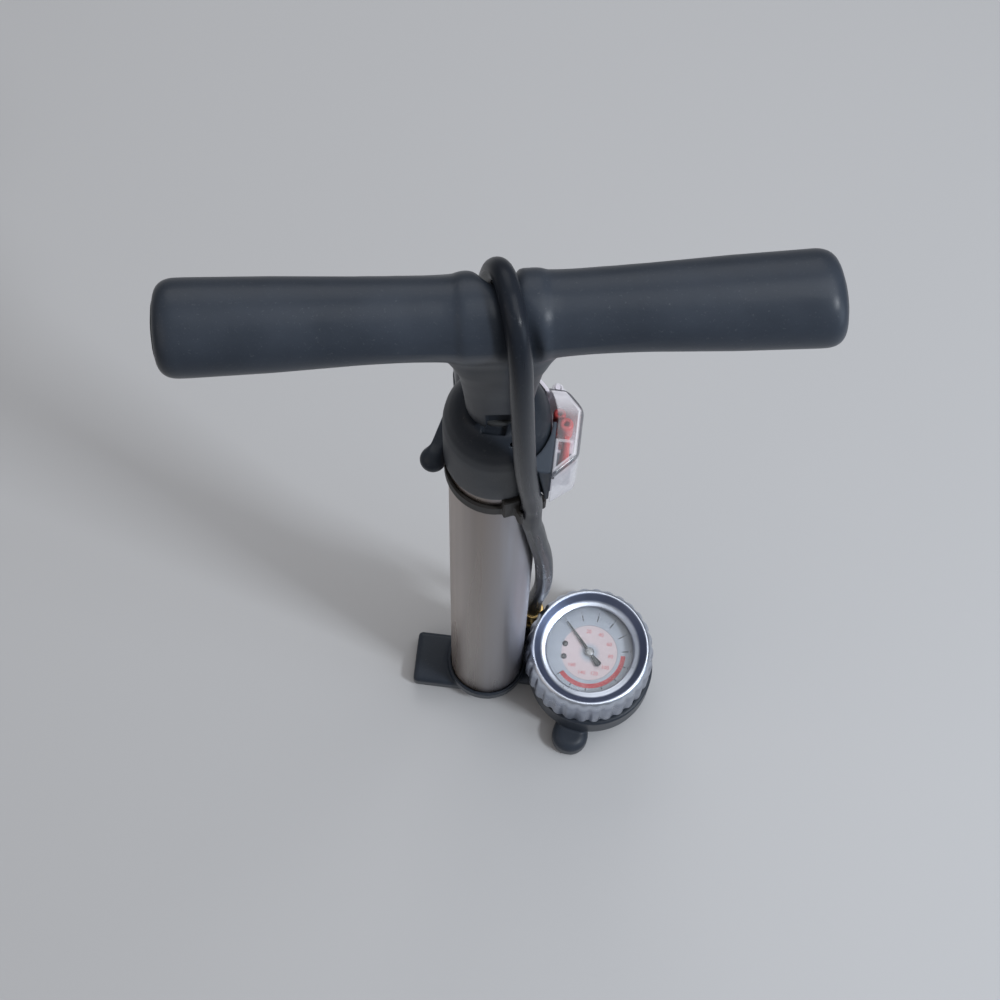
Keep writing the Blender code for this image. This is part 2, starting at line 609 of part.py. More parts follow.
def make_gauge():
    """Dial gauge on its stem: cup, movement, dial, pointer, lens and scalloped bezel."""
    place = {"at": (gauge_x, 0, 0)}
    turned("gauge_stem", BRASS, [
        (0, cup_z0 + CUP_WALL + 0.0025), (STEM_R, cup_z0 + CUP_WALL + 0.0025), (STEM_R, cup_z0 - GAP),
        (0.0085, cup_z0 - GAP), (0.0085, pedestal_z + GAP), (STEM_R, pedestal_z + GAP),
        (STEM_R, channel_z + CHANNEL_R + 0.001), (0, channel_z + CHANNEL_R + 0.001),
    ], steps=SMALL_STEPS, **place)
    inner = CUP_R - CUP_WALL
    floor = cup_z0 + CUP_WALL
    turned("gauge_cup", BLACK, [
        (inner, cup_z1), (CUP_R, cup_z1), (CUP_R, cup_z0 + 0.009), (CUP_R - 0.0024, cup_z0 + 0.0032),
        (CUP_R - 0.0075, cup_z0), (STEM_R + GAP, cup_z0), (STEM_R + GAP, floor), (inner - 0.0065, floor),
        (inner - 0.0012, floor + 0.0042), (inner, cup_z0 + 0.009),
    ], ring=True, steps=ROUND_STEPS, **place)
    under = dial_z - DIAL_T
    block("gauge_movement", BRASS, (-0.0065, -0.0050, floor + 0.0025 + GAP), (0.0065, 0.0050, under - GAP), **place)
    spring_z = (floor + under) / 2
    arc = [math.radians(a) for a in range(-150, 151, 20)]
    tube("bourdon_tube", BRASS, [(0.0098 * math.cos(a), 0.0098 * math.sin(a), spring_z) for a in arc],
         0.0012, 1, **place)
    dial = disc("gauge_dial", WHITE, inner - GAP, under, dial_z, ROUND_STEPS, **place)
    cut(dial, disc("spindle_cut", None, SPINDLE_R + RUN, under - 0.001, dial_z + 0.001, 12, **place))
    for side, name in ((-1, "near"), (1, "far")):
        turned("dial_screw_" + name, BLACK, [
            (0, dial_z + GAP + 0.0006), (0.0010, dial_z + GAP + 0.0006), (0.0014, dial_z + GAP + 0.0002),
            (0.0014, dial_z + GAP), (0, dial_z + GAP),
        ], steps=16, at=(gauge_x - 0.0130, side * 0.0034, 0))
    pointer_z = dial_z + 0.0013
    pivot = empty("pointer_axis", (gauge_x, 0, pointer_z), POINTER_REST)
    pointer = disc("gauge_pointer", BLACK, 0.0022, 0, 0.0008, SMALL_STEPS, parent=pivot)
    wedge = [(-POINTER_TAIL, 0.0022), (-0.55 * POINTER_TAIL, 0.0017), (0, 0.0009), (POINTER_REACH, 0.0003)]
    blade = loft("pointer_blade_form", None, [
        [(x, -half, 0.0001), (x, half, 0.0001), (x, half, 0.0007), (x, -half, 0.0007)] for x, half in wedge
    ], parent=pivot)
    join(pointer, blade)
    cut(pointer, disc("pointer_bore_cut", None, SPINDLE_R + GAP / 2, -0.001, 0.002, 12, parent=pivot))
    disc("gauge_spindle", BRASS, SPINDLE_R, under - GAP + 0.0002, pointer_z + 0.0010, 12, **place)
    disc("gauge_lens", CLEAR, CUP_R - GAP, lens_z0, lens_z0 + LENS_T, ROUND_STEPS, **place)
    skirt = CUP_R + GAP
    bezel = turned("gauge_bezel", CHROME, [
        (window_r, lip_z + 0.0010), (window_r + 0.0021, lip_z + 0.0012), (bezel_r - 0.0055, lip_z + 0.0052),
        (bezel_r - 0.0032, lip_z + 0.0048), (bezel_r - 0.0012, lip_z + 0.0022), (bezel_r - 0.0003, lip_z - 0.0030),
        (bezel_r, lip_z - 0.0080), (bezel_r - 0.0003, lip_z - BEZEL_SKIRT), (skirt, lip_z - BEZEL_SKIRT),
        (skirt, lip_z), (window_r, lip_z),
    ], ring=True, steps=2 * SCALLOPS, **place)
    spin = [Matrix.Rotation(2 * math.pi * i / SCALLOPS, 4, "Z") for i in range(SCALLOPS)]
    away = Matrix.Translation((bezel_r + 0.0025, 0, lip_z))
    cut(bezel, merged("scallop_cuts", [(turn @ away, 0.0033, 0.04) for turn in spin], **place))


# The hose's route: up the barrel, through the clip, over the handle's saddle and down to the parked head
HOSE_ROUTE = [
    (0.0215, 0.0235, ferrule_z1 + GAP), (0.0216, 0.0233, 0.0580), (0.0222, 0.0215, 0.0760),
    (0.0234, 0.0175, 0.1000), (0.0246, 0.0125, 0.1320), (0.0250, 0.0080, 0.1640), (0.0248, 0.0038, 0.1930),
    (0.0243, -0.0006, 0.2210), (0.0235, -0.0050, 0.2500), (0.0222, -0.0093, 0.2780), (0.0205, -0.0131, 0.3040),
    (0.0188, -0.0161, 0.3300), (0.0173, -0.0181, 0.3480), (0.0169, -0.0186, 0.3600), (0.0168, -0.0188, 0.3720),
    (0.0166, -0.0197, 0.3810),
    (0.0158, -0.0210, 0.3960), (0.0146, -0.0228, 0.4140), (0.0134, -0.0238, 0.4340), (0.0124, -0.0240, 0.4540),
    (0.0115, -0.0235, 0.4740), (0.0106, -0.0224, 0.4940), (0.0097, -0.0207, 0.5120), (0.0088, -0.0183, 0.5270),
    (0.0076, -0.0149, 0.5380), (0.0060, -0.0103, 0.5452), (0.0042, -0.0050, 0.5482), (0.0022, 0.0008, 0.5484),
    (0.0000, 0.0066, 0.5462), (-0.0022, 0.0121, 0.5417), (-0.0042, 0.0159, 0.5336), (-0.0055, 0.0181, 0.5220),
    (-0.0066, 0.0203, 0.5060), (-0.0073, 0.0237, 0.4870), (-0.0078, 0.0274, 0.4650), (-0.0080, 0.0304, 0.4430),
    (-0.0080, 0.0319, 0.4280), (HEAD_OUT * math.cos(HEAD_ANGLE), HEAD_OUT * math.sin(HEAD_ANGLE), boot_z1 + GAP),
]
HOSE_CLIP = 13  # the route's point inside the clip


def make_hose():
    low = (*OUTLET_AT, 0)
    turned("outlet_fitting", BRASS, [
        (0.0, ferrule_z0 - GAP), (0.0052, ferrule_z0 - GAP), (0.0062, ferrule_z0 - GAP - 0.001),
        (0.0062, outlet_z + GAP), (0, outlet_z + GAP),
    ], steps=6, at=low)
    turned("lower_ferrule", STEEL, [
        (0, ferrule_z1), (sleeve_r - 0.0005, ferrule_z1), (sleeve_r, ferrule_z1 - 0.0005), (sleeve_r, ferrule_z1 - 0.0055),
        (sleeve_r - 0.0008, ferrule_z1 - 0.0065), (sleeve_r - 0.0008, ferrule_z1 - 0.0085), (sleeve_r, ferrule_z1 - 0.0095),
        (sleeve_r, ferrule_z0), (0, ferrule_z0),
    ], steps=SMALL_STEPS, at=low)
    route = thinned(smooth_through(HOSE_ROUTE, 8), 5 * HOSE_R, math.radians(14), 8)
    tube("hose", RUBBER, route, HOSE_R, 2)
    print("hose points:", len(route), "length, m:", round(sum((b - a).length for a, b in zip(route, route[1:])), 3))
    turned("head_boot", RUBBER, [
        (0, boot_z1), (HOSE_R + 0.0008, boot_z1), (HOSE_R + 0.0016, boot_z1 - 0.006), (0.0080, boot_z0 + 0.0015),
        (0.0080, boot_z0), (0, boot_z0),
    ], steps=SMALL_STEPS, at=(HEAD_OUT * math.cos(HEAD_ANGLE), HEAD_OUT * math.sin(HEAD_ANGLE), 0))


def make_head():
    """Pump head parked on the cap's peg, in a frame whose X points away from the barrel; the lever folds round it."""
    frame = empty("head_frame", (0, 0, 0), HEAD_ANGLE)
    half = HEAD_WIDTH / 2
    head = block("head_body", CHARCOAL, (head_inner, -half, head_z0), (HEAD_OUT + HEAD_DEPTH / 2, half, head_z1), 0.0042, 3,
                 parent=frame)
    lever_z0 = head_z0 + LEVER_UP
    lever_z1 = lever_z0 + LEVER_H
    pivot_at = (HEAD_OUT, half - LEVER_EYE_R - GAP, 0)
    slot = block("lever_slot_cut", None, (head_inner - 0.002, pivot_at[1] - LEVER_EYE_R - 0.0006, lever_z0 - RUN),
                 (HEAD_OUT + HEAD_DEPTH, half + 0.004, lever_z1 + RUN), parent=frame)
    nozzle = rod_between("nozzle_cut", None, (head_inner - 0.002, 0, peg_z), (head_inner + SEAL_LEN + 0.004, 0, peg_z),
                         SEAL_R + GAP, parent=frame)
    pin_hole = disc("lever_pin_cut", None, LEVER_PIN_R + GAP / 2, lever_z0 - 0.0045, lever_z1 + 0.0045, 16, at=pivot_at,
                    parent=frame)
    cut(head, slot, nozzle, pin_hole)
    out = (1, 0, 0)
    ring("head_seal", RUBBER, PEG_R + GAP, SEAL_R, 0, SEAL_LEN, SMALL_STEPS, at=(head_inner, 0, peg_z), aim=out,
         parent=frame)
    room = head_inner - GAP - (cap_r + GAP)
    turned("head_collar", BLACK, [
        (PEG_R + GAP, room), (0.0080, room), (0.0086, room - 0.0006), (0.0080, 0), (PEG_R + GAP, 0),
    ], ring=True, steps=SMALL_STEPS, at=(cap_r + GAP, 0, peg_z), aim=out, parent=frame)
    cut(bpy.data.objects["head_collar"],
        disc("collar_seat_cut", None, cap_r + GAP, cap_z0 - 0.005, cap_z1 - 0.010, ROUND_STEPS))
    pin_low = lever_z0 - 0.0042
    disc("lever_pin", STEEL, LEVER_PIN_R, pin_low, lever_z1 + 0.0042, 16, at=pivot_at, parent=frame)
    pivot = empty("lever_axis", pivot_at, 0.0, frame)
    lever = disc("head_lever", CHARCOAL, LEVER_EYE_R, lever_z0, lever_z1, SMALL_STEPS, parent=pivot)
    arm = bar("lever_arm_form", None, (0, 0), LEVER_TIP, 0.0058, lever_z0 + 0.0012, lever_z1 - 0.0012, 0.0012, parent=pivot)
    middle = (lever_z0 + lever_z1) / 2
    tip = turned("lever_tip_form", None, [
        (0, lever_z1), (0.55 * LEVER_TIP_R, lever_z1 - 0.0005), (0.88 * LEVER_TIP_R, lever_z1 - 0.0024),
        (LEVER_TIP_R, middle), (0.88 * LEVER_TIP_R, lever_z0 + 0.0024), (0.55 * LEVER_TIP_R, lever_z0 + 0.0005),
        (0, lever_z0),
    ], steps=SMALL_STEPS, at=(*LEVER_TIP, 0), parent=pivot)
    join(lever, arm, tip)
    cut(lever, disc("lever_bore_cut", None, LEVER_PIN_R + RUN, lever_z0 - 0.001, lever_z1 + 0.001, 16, parent=pivot))


def make_case():
    """Accessory case: a tray saddled on the cap, a clear cover hinged at its far edge, and three adapters and a needle."""
    y0, y1 = CASE_Y
    tray = block("case_tray", BLACK, (0.7 * cap_r, y0 + 0.001, case_z0 + 0.0005), (tray_x, y1 - 0.001, case_z1 - 0.0005), 0.0010, 2)
    shelf = block("shelf_form", None, (tray_x - 0.0010, y0 + CASE_WALL + 0.0010, shelf_z0),
                  (cover_x1 - CASE_WALL - 0.0010, y1 - CASE_WALL - 0.0010, shelf_z1))
    hinge_at = (tray_x - 0.0013, y1 + KNUCKLE_R + 0.0006)
    third = CASE_H / 5
    middle_z = (case_z0 + 2 * third, case_z0 + 3 * third)
    tray_web = block("tray_web_form", None, (hinge_at[0] - KNUCKLE_R, y1 - 0.003, middle_z[0]),
                     (hinge_at[0], hinge_at[1], middle_z[1]))
    tray_knuckle = disc("tray_knuckle_form", None, KNUCKLE_R, *middle_z, 16, at=(*hinge_at, 0))
    bore = disc("case_pin_cut", None, CASE_PIN_R + GAP, case_z0 - 0.001, case_z1 + 0.001, 16, at=(*hinge_at, 0))
    cut(tray, disc("tray_saddle_cut", None, cap_r + GAP, case_z0 - 0.005, case_z1 + 0.005, ROUND_STEPS))
    join(tray, shelf, tray_web, tray_knuckle)
    cut(tray, bore)
    pivot = empty("cover_axis", (*hinge_at, 0))
    near_x, near_y = cover_x0 - hinge_at[0], -hinge_at[1]
    cover = block("case_cover", CLEAR, (near_x - 0.006, near_y + y0, case_z0), (near_x + CASE_DEPTH, near_y + y1, case_z1),
                  0.0030, 3, parent=pivot)
    hollow = block("cover_hollow_cut", None, (near_x - 0.010, near_y + y0 + CASE_WALL, case_z0 + CASE_WALL),
                   (near_x + CASE_DEPTH - CASE_WALL, near_y + y1 - CASE_WALL, case_z1 - CASE_WALL), 0.0008, 1, parent=pivot)
    front = block("cover_mouth_cut", None, (near_x - 0.010, near_y + y0 - 0.002, case_z0 - 0.002),
                  (near_x, near_y + y1 + 0.002, case_z1 + 0.002), parent=pivot)
    cut(cover, hollow, front)
    for low, high, name in ((case_z0 + third, middle_z[0] - RUN, "low"), (middle_z[1] + RUN, case_z0 + 4 * third, "high")):
        web = block("cover_web_form_" + name, None, (near_x + 0.0001, near_y + y1 - 0.001, low), (near_x + 0.0016, 0, high),
                    parent=pivot)
        knuckle = disc("cover_knuckle_form_" + name, None, KNUCKLE_R, low, high, 16, parent=pivot)
        join(cover, web, knuckle)
    cut(cover, bore)
    disc("case_pin", STEEL, CASE_PIN_R, case_z0 + third - 0.001, case_z0 + 4 * third + 0.001, 16, at=(*hinge_at, 0))
    stand = shelf_z1 + GAP
    row_x = tray_x + 0.0036
    for y, tall, wide, name in ((0.0044, 0.0270, 0.0028, "a"), (0.0102, 0.0235, 0.0025, "b")):
        turned("valve_adapter_" + name, RED, [
            (0, stand + tall), (0.75 * wide, stand + tall), (wide, stand + tall - 0.0012), (wide, stand + 0.5 * tall),
            (0.7 * wide, stand + 0.45 * tall), (0.7 * wide, stand + 0.15 * tall), (0.9 * wide, stand), (0, stand),
        ], steps=16, at=(row_x, y, 0))
    lean = Vector((0.0016, 0.0080, 0.0270))
    foot = Vector((row_x - 0.0010, -0.0078, stand + 0.0010))
    turned("cone_nozzle", RED, [
        (0, lean.length), (0.0010, lean.length), (0.0013, lean.length - 0.002), (0.0021, 0.006), (0.0022, 0.0005),
        (0.0016, 0), (0, 0),
    ], steps=16, at=foot, aim=lean)
    turned("ball_needle", STEEL, [
        (0, 0.0155), (0.0005, 0.0147), (0.0006, 0.0052), (0.0011, 0.0044), (0.0011, 0), (0, 0),
    ], steps=12, at=(cover_x1 - CASE_WALL - 0.0016, 0.0008, stand + 0.0011), aim=(-0.0003, -0.0200, 0.0060))


make_base()
make_feet()
make_check_valve()
make_barrel()
make_cap()
make_clip_ring()
make_piston()
make_handle()
make_gauge()
make_hose()
make_head()
make_case()
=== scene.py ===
"""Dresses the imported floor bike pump: smooth moulded forms, printed dial, hose, case and stage. Metres, +Z up."""

import json
import math

import bpy
import numpy as np
from mathutils import Matrix, Vector

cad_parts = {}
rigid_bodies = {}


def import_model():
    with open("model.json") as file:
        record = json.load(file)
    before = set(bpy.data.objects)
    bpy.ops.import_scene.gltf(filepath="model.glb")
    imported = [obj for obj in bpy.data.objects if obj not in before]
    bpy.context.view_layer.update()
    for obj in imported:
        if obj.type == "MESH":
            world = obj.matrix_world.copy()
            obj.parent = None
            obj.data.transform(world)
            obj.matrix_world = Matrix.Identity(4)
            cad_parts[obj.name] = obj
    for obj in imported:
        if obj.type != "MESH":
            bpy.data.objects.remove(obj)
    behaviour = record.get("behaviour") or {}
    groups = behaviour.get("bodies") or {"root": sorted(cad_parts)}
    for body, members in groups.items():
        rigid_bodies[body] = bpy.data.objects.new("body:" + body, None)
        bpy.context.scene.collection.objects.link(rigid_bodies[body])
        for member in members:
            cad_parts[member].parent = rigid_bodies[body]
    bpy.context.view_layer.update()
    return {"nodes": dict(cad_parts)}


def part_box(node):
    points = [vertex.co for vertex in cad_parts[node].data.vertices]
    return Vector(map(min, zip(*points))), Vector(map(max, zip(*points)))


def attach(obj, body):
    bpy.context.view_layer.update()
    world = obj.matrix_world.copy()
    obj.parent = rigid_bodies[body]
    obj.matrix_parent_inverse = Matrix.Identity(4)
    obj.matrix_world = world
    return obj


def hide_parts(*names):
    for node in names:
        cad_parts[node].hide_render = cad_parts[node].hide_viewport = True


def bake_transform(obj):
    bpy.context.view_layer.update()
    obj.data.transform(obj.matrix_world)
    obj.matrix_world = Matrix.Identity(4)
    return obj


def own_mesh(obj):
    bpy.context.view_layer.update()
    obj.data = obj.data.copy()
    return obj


bl_info = {
    "name": "Floor bike pump",
    "version": (1, 0, 0),
    "blender": (4, 5, 0),
    "location": "View3D > Sidebar > Pump",
    "description": "Dresses a floor bike pump and sets its stage",
    "category": "Object",
}

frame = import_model()


def low_high(node):
    """A CAD node's corners as two arrays."""
    low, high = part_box(node)
    return np.array(low), np.array(high)


GAP = 0.0003
BARREL_LOW, BARREL_HIGH = low_high("barrel_tube")
CAP_LOW, CAP_HIGH = low_high("top_cap")
BASE_LOW, BASE_HIGH = low_high("base_body")
CUP_LOW, CUP_HIGH = low_high("gauge_cup")
BEZEL_LOW, BEZEL_HIGH = low_high("gauge_bezel")
BARREL_R = (BARREL_HIGH[0] - BARREL_LOW[0]) / 2
CAP_R = CAP_HIGH[0]
CAP_Z0, CAP_Z1 = CAP_LOW[2], CAP_HIGH[2]
GAUGE_AT = (CUP_LOW + CUP_HIGH) / 2 * (1, 1, 0)
CUP_R = (CUP_HIGH[0] - CUP_LOW[0]) / 2
HANDLE_Z = 0.53
HANDLE_YAW = math.radians(10)
HANDLE_TURN = math.radians(10)
HEAD_YAW = math.radians(104)
# The case's slanted front stands across (FRONT_X, -FRONT_Y) through FRONT_AT, and its bevel cuts the back corner
FRONT_X, FRONT_Y, FRONT_AT = 0.725, 0.689, (0.0326, -0.0115)
CASE_Y0, CASE_Y1, CASE_BEVEL = -0.0208, 0.0145, 0.0074
WINDOW_R = 0.0226
SCALE_ZERO = math.radians(131)
SCALE_SWEEP = math.radians(270)


def colour_property(name, description, default):
    return bpy.props.FloatVectorProperty(
        name=name, description=description, subtype="COLOR", size=3, min=0, max=1, default=default)


def length_property(name, description, low, high, default):
    return bpy.props.FloatProperty(
        name=name, description=description, unit="LENGTH", min=low, max=high, default=default)


def angle_property(name, description, degrees):
    return bpy.props.FloatProperty(name=name, description=description, subtype="ANGLE", default=math.radians(degrees))


class PumpFinish(bpy.types.PropertyGroup):
    charcoal: colour_property("Charcoal", "Moulded plastic of handle, cap, base and head", (0.029, 0.0355, 0.0475))
    hose: colour_property("Hose", "Rubber of the hose", (0.012, 0.0145, 0.02))
    # The steel's warm tint is a painted reflection of a warm floor.
    steel: colour_property("Steel", "Satin barrel", (0.345, 0.275, 0.228))
    accent: colour_property("Red", "Adapters in the case", (0.62, 0.085, 0.085))


class PumpShape(bpy.types.PropertyGroup):
    hose_diameter: length_property("Hose diameter", "Outside of the hose", 0.004, 0.012, 0.0084)
    neck_fillet: length_property("Neck fillet", "Blend where the neck runs into the grip", 0.001, 0.03, 0.009)
    grip_rise: length_property("Grip rise", "How far the grip's ends sweep up", 0, 0.006, 0.0016)
    scallop_depth: length_property("Scallop depth", "Finger scallops round the gauge's bezel", 0, 0.003, 0.0011)


class PumpStage(bpy.types.PropertyGroup):
    camera_at: bpy.props.FloatVectorProperty(
        name="Camera place", description="Where the camera stands", subtype="TRANSLATION", size=3,
        default=(0.02355, -0.2994, 1.3089))
    pitch: angle_property("Pitch", "Camera's angle below level", 73.218)
    turn: angle_property("Turn", "Camera's heading about the barrel", 4.0)
    roll: angle_property("Roll", "Camera's lean", 2.947)
    focal: bpy.props.FloatProperty(
        name="Focal length", description="On a 36 mm sensor", subtype="DISTANCE_CAMERA", default=88.65)
    floor: colour_property("Floor", "Pale floor", (0.47, 0.47, 0.48))


def shape():
    return bpy.context.scene.pump_shape


# Meshes from whole arrays


def shown(name, data):
    """A new object in the scene."""
    obj = bpy.data.objects.new(name, data)
    bpy.context.scene.collection.objects.link(obj)
    return obj


def new_piece(name, points, faces, coat, body, *nodes, smooth=True, uv=None):
    """A mesh object from arrays of points and faces, with a finish, on a CAD body, standing for CAD nodes."""
    mesh = bpy.data.meshes.new(name)
    faces = np.asarray(faces)
    mesh.vertices.add(len(points))
    mesh.vertices.foreach_set("co", np.asarray(points, np.float32).ravel())
    width = faces.shape[1]
    mesh.loops.add(faces.size)
    mesh.loops.foreach_set("vertex_index", faces.astype(np.int32).ravel())
    mesh.polygons.add(len(faces))
    mesh.polygons.foreach_set("loop_start", np.arange(0, faces.size, width, dtype=np.int32))
    if uv is not None:
        mesh.uv_layers.new(name="UVMap").data.foreach_set("uv", np.asarray(uv, np.float32).ravel())
    mesh.update(calc_edges=True)
    mesh.validate()
    obj = shown(name, mesh)
    mesh.materials.append(look(coat))
    if smooth:
        mesh.polygons.foreach_set("use_smooth", np.ones(len(mesh.polygons), bool))
    if body:
        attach(obj, body)
    if nodes:
        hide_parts(*nodes)
    return obj


def sharpen(obj, degrees):
    """Marks the edges that turn by more than this as sharp."""
    obj.data.set_sharp_from_angle(angle=math.radians(degrees))
    return obj


def grid_faces(rows, columns, wrap_rows=False):
    """Quads of a grid whose columns close on themselves, and its rows too where asked."""
    i, j = np.meshgrid(np.arange(rows if wrap_rows else rows - 1), np.arange(columns), indexing="ij")
    up, on = (i + 1) % rows, (j + 1) % columns
    return np.stack([i * columns + j, i * columns + on, up * columns + on, up * columns + j], -1).reshape(-1, 4)


def rounded(profile, radius, closed=False, steps=5):
    """A profile of (radius, height) with each corner swapped for an arc-like curve of this size.

    Corner p with neighbours a and b becomes the quadratic curve from p+(a-p)s to p+(b-p)s with p as its handle,
    where s keeps within half of each side.
    """
    p = np.array(profile, float)
    before, after = np.roll(p, 1, 0), np.roll(p, -1, 0)
    in_len = np.linalg.norm(before - p, axis=1, keepdims=True)
    out_len = np.linalg.norm(after - p, axis=1, keepdims=True)
    size = np.broadcast_to(np.asarray(radius, float).reshape(-1, 1), (len(p), 1))
    start = p + (before - p) / in_len * np.minimum(size, 0.48 * in_len)
    stop = p + (after - p) / out_len * np.minimum(size, 0.48 * out_len)
    t = np.linspace(0, 1, steps)[None, :, None]
    curve = start[:, None] * (1 - t) ** 2 + p[:, None] * 2 * t * (1 - t) + stop[:, None] * t**2
    if closed:
        return curve.reshape(-1, 2)
    return np.concatenate([p[:1], curve[1:-1].reshape(-1, 2), p[-1:]])


def revolve(profile, steps=96, closed=False):
    """Turns a profile (radius, height), listed down its outer side, about Z: (r cos a, r sin a, z)."""
    profile = np.asarray(profile, float)
    angle = np.linspace(0, 2 * np.pi, steps, endpoint=False)
    r, z = profile[:, :1], profile[:, 1:]
    points = np.stack([r * np.cos(angle), r * np.sin(angle), np.broadcast_to(z, (len(profile), steps))], -1)
    return points.reshape(-1, 3), grid_faces(len(profile), steps, closed)[:, ::-1]


def welded(obj):
    """Merges the repeated points of poles and seams."""
    obj.modifiers.new("weld", "WELD").merge_threshold = 1e-6
    return obj


def turned(name, profile, coat, body, node, edge=None, steps=96, closed=False, at=(0, 0, 0), aim=None, sharp=35):
    """A revolved profile, its corners rounded by an edge if given, its axis turned to aim, moved to its place."""
    if edge:
        profile = rounded(profile, edge, closed)
    points, faces = revolve(profile, steps, closed)
    return sharpen(welded(new_piece(name, placed(points, at, aim), faces, coat, body, node)), sharp)


def sleeve(name, inner, outer, low, high, edge, coat, body, node, steps, at=(0, 0, 0)):
    """A turned ring of square section with rounded edges."""
    section = [(inner, high), (outer, high), (outer, low), (inner, low)]
    return turned(name, section, coat, body, node, edge, steps, True, at)


def placed(points, at=(0, 0, 0), aim=None, yaw=0.0):
    """Turns points so that Z runs along aim, then about Z by yaw, and moves them."""
    turn = Matrix.Rotation(yaw, 3, "Z")
    if aim is not None:
        turn = turn @ Vector(aim).to_track_quat("Z", "Y").to_matrix()
    return points @ np.array(turn).T + np.asarray(at, float)


def table(points, blur, count=900):
    """A smooth curve through (place, value) pairs: straight runs on a fine grid, averaged by a bell of this width."""
    place, value = np.array(points, float).T
    grid = np.linspace(place[0], place[-1], count)
    step = grid[1] - grid[0]
    reach = np.arange(-int(3 * blur / step) - 1, int(3 * blur / step) + 2) * step
    bell = np.exp(-0.5 * (reach / blur) ** 2)
    pad = len(reach) // 2
    run = np.pad(np.interp(grid, place, value), pad, mode="reflect", reflect_type="odd")
    return grid, np.convolve(run, bell / bell.sum(), mode="valid")


# Moulded forms: a distance field, negative inside, read off a grid of cells


def join(a, b, size):
    """Smooth minimum: the lesser of two fields, less a rounded fillet where they are within a size of each other."""
    near = np.maximum(size - np.abs(a - b), 0) / size
    return np.minimum(a, b) - near * near * size / 4


def carve(a, b, size=0.0006):
    """A with b cut out of it, with the edge rounded by this size. A plane's distance as b cuts a flat end."""
    return -join(-a, b, size)


def box_field(p, low, high, edge):
    """Distance to a box with rounded edges."""
    low, high = np.asarray(low), np.asarray(high)
    q = [np.abs(c - (l + h) / 2) - ((h - l) / 2 - edge) for c, l, h in zip(p, low, high)]
    outside = np.sqrt(sum(np.maximum(c, 0) ** 2 for c in q))
    return outside + np.minimum(np.maximum(np.maximum(q[0], q[1]), q[2]), 0) - edge


def lidded(plan, z, z0, z1, edge):
    """Distance to an upright form with this plan distance between two heights, its rims rounded."""
    side = plan + edge
    rise = np.abs(z - (z0 + z1) / 2) - ((z1 - z0) / 2 - edge)
    return np.hypot(np.maximum(side, 0), np.maximum(rise, 0)) + np.minimum(np.maximum(side, rise), 0) - edge


def post_field(p, at, radius, z0, z1, edge):
    """Distance to an upright round post."""
    return lidded(np.hypot(p[0] - at[0], p[1] - at[1]) - radius, p[2], z0, z1, edge)


def bar_field(p, start, end, half, z0, z1, edge):
    """Distance to a flat bar with round ends along the plan's line from start to end."""
    return lidded(rod_field(p[:2], start, end, half), p[2], z0, z1, edge)


def rod_field(p, start, end, radius):
    """Distance to a rod with round ends, in space or in plan."""
    start, end = np.asarray(start, float), np.asarray(end, float)
    run = end - start
    t = np.clip(sum((c - s) * d for c, s, d in zip(p, start, run)) / (run @ run), 0, 1)
    return np.sqrt(sum((c - s - t * d) ** 2 for c, s, d in zip(p, start, run))) - radius


def skin(field, low, high, cell):
    """The surface where a field is zero, as points and quads.

    One point stands in each grid cell that the surface crosses, at the mean of the crossings on the cell's edges,
    and a quad spans the four cells round each crossed edge. The points then slide down the field's slope onto it.
    """
    axes = [np.arange(l, h + cell, cell) for l, h in zip(low, high)]
    values = field(np.meshgrid(*axes, indexing="ij"))
    size = np.array(values.shape) - 1
    total, count = np.zeros((*size, 3)), np.zeros(size)
    edges = []
    for axis in range(3):
        first = np.take(values, range(values.shape[axis] - 1), axis)
        second = np.take(values, range(1, values.shape[axis]), axis)
        crossed = (first < 0) != (second < 0)
        edges.append((crossed, first))
        part = np.where(crossed, first / np.where(crossed, first - second, 1), 0)
        others = [k for k in range(3) if k != axis]
        for du, dv in ((0, 0), (0, 1), (1, 0), (1, 1)):
            window = [slice(None)] * 3
            window[others[0]] = slice(du, size[others[0]] + du)
            window[others[1]] = slice(dv, size[others[1]] + dv)
            hit = crossed[tuple(window)]
            count += hit
            total[..., axis] += part[tuple(window)]
            total[..., others[0]] += hit * du
            total[..., others[1]] += hit * dv
    used = count > 0
    index = np.full(size, -1)
    index[used] = np.arange(used.sum())
    points = np.argwhere(used) + total[used] / count[used][:, None]
    points = points * cell + np.array([a[0] for a in axes])
    quads = []
    for axis, (crossed, first) in enumerate(edges):
        at = np.argwhere(crossed)
        u, v = [(1, 2), (2, 0), (0, 1)][axis]
        at = at[(at[:, u] > 0) & (at[:, v] > 0) & (at[:, u] < size[u]) & (at[:, v] < size[v])]
        corner = []
        for du, dv in ((-1, -1), (0, -1), (0, 0), (-1, 0)):
            cells = at.copy()
            cells[:, u] += du
            cells[:, v] += dv
            corner.append(index[tuple(cells.T)])
        quad = np.stack(corner, -1)
        flip = first[tuple(at.T)] > 0
        quad[flip] = quad[flip][:, ::-1]
        quads.append(quad)
    step = 0.02 * cell
    for _ in range(4):
        value = field(list(points.T))
        slope = np.stack([field([c + step * (k == axis) for k, c in enumerate(points.T)]) for axis in range(3)], -1)
        slope = (slope - value[:, None]) / step
        move = -value[:, None] * slope / np.maximum((slope**2).sum(1, keepdims=True), 0.2)
        points = points + np.clip(move, -0.5 * cell, 0.5 * cell)
    return points, np.concatenate(quads)


def moulded(name, field, low, high, cell, coat, body, node, at=(0, 0, 0), yaw=0.0, sharp=None):
    """A moulded form in its own frame, turned about Z and moved into place in the mesh."""
    points, faces = skin(field, low, high, cell)
    obj = new_piece(name, placed(points, at, None, yaw), faces, coat, body, node)
    return sharpen(obj, sharp) if sharp else obj


# Finishes


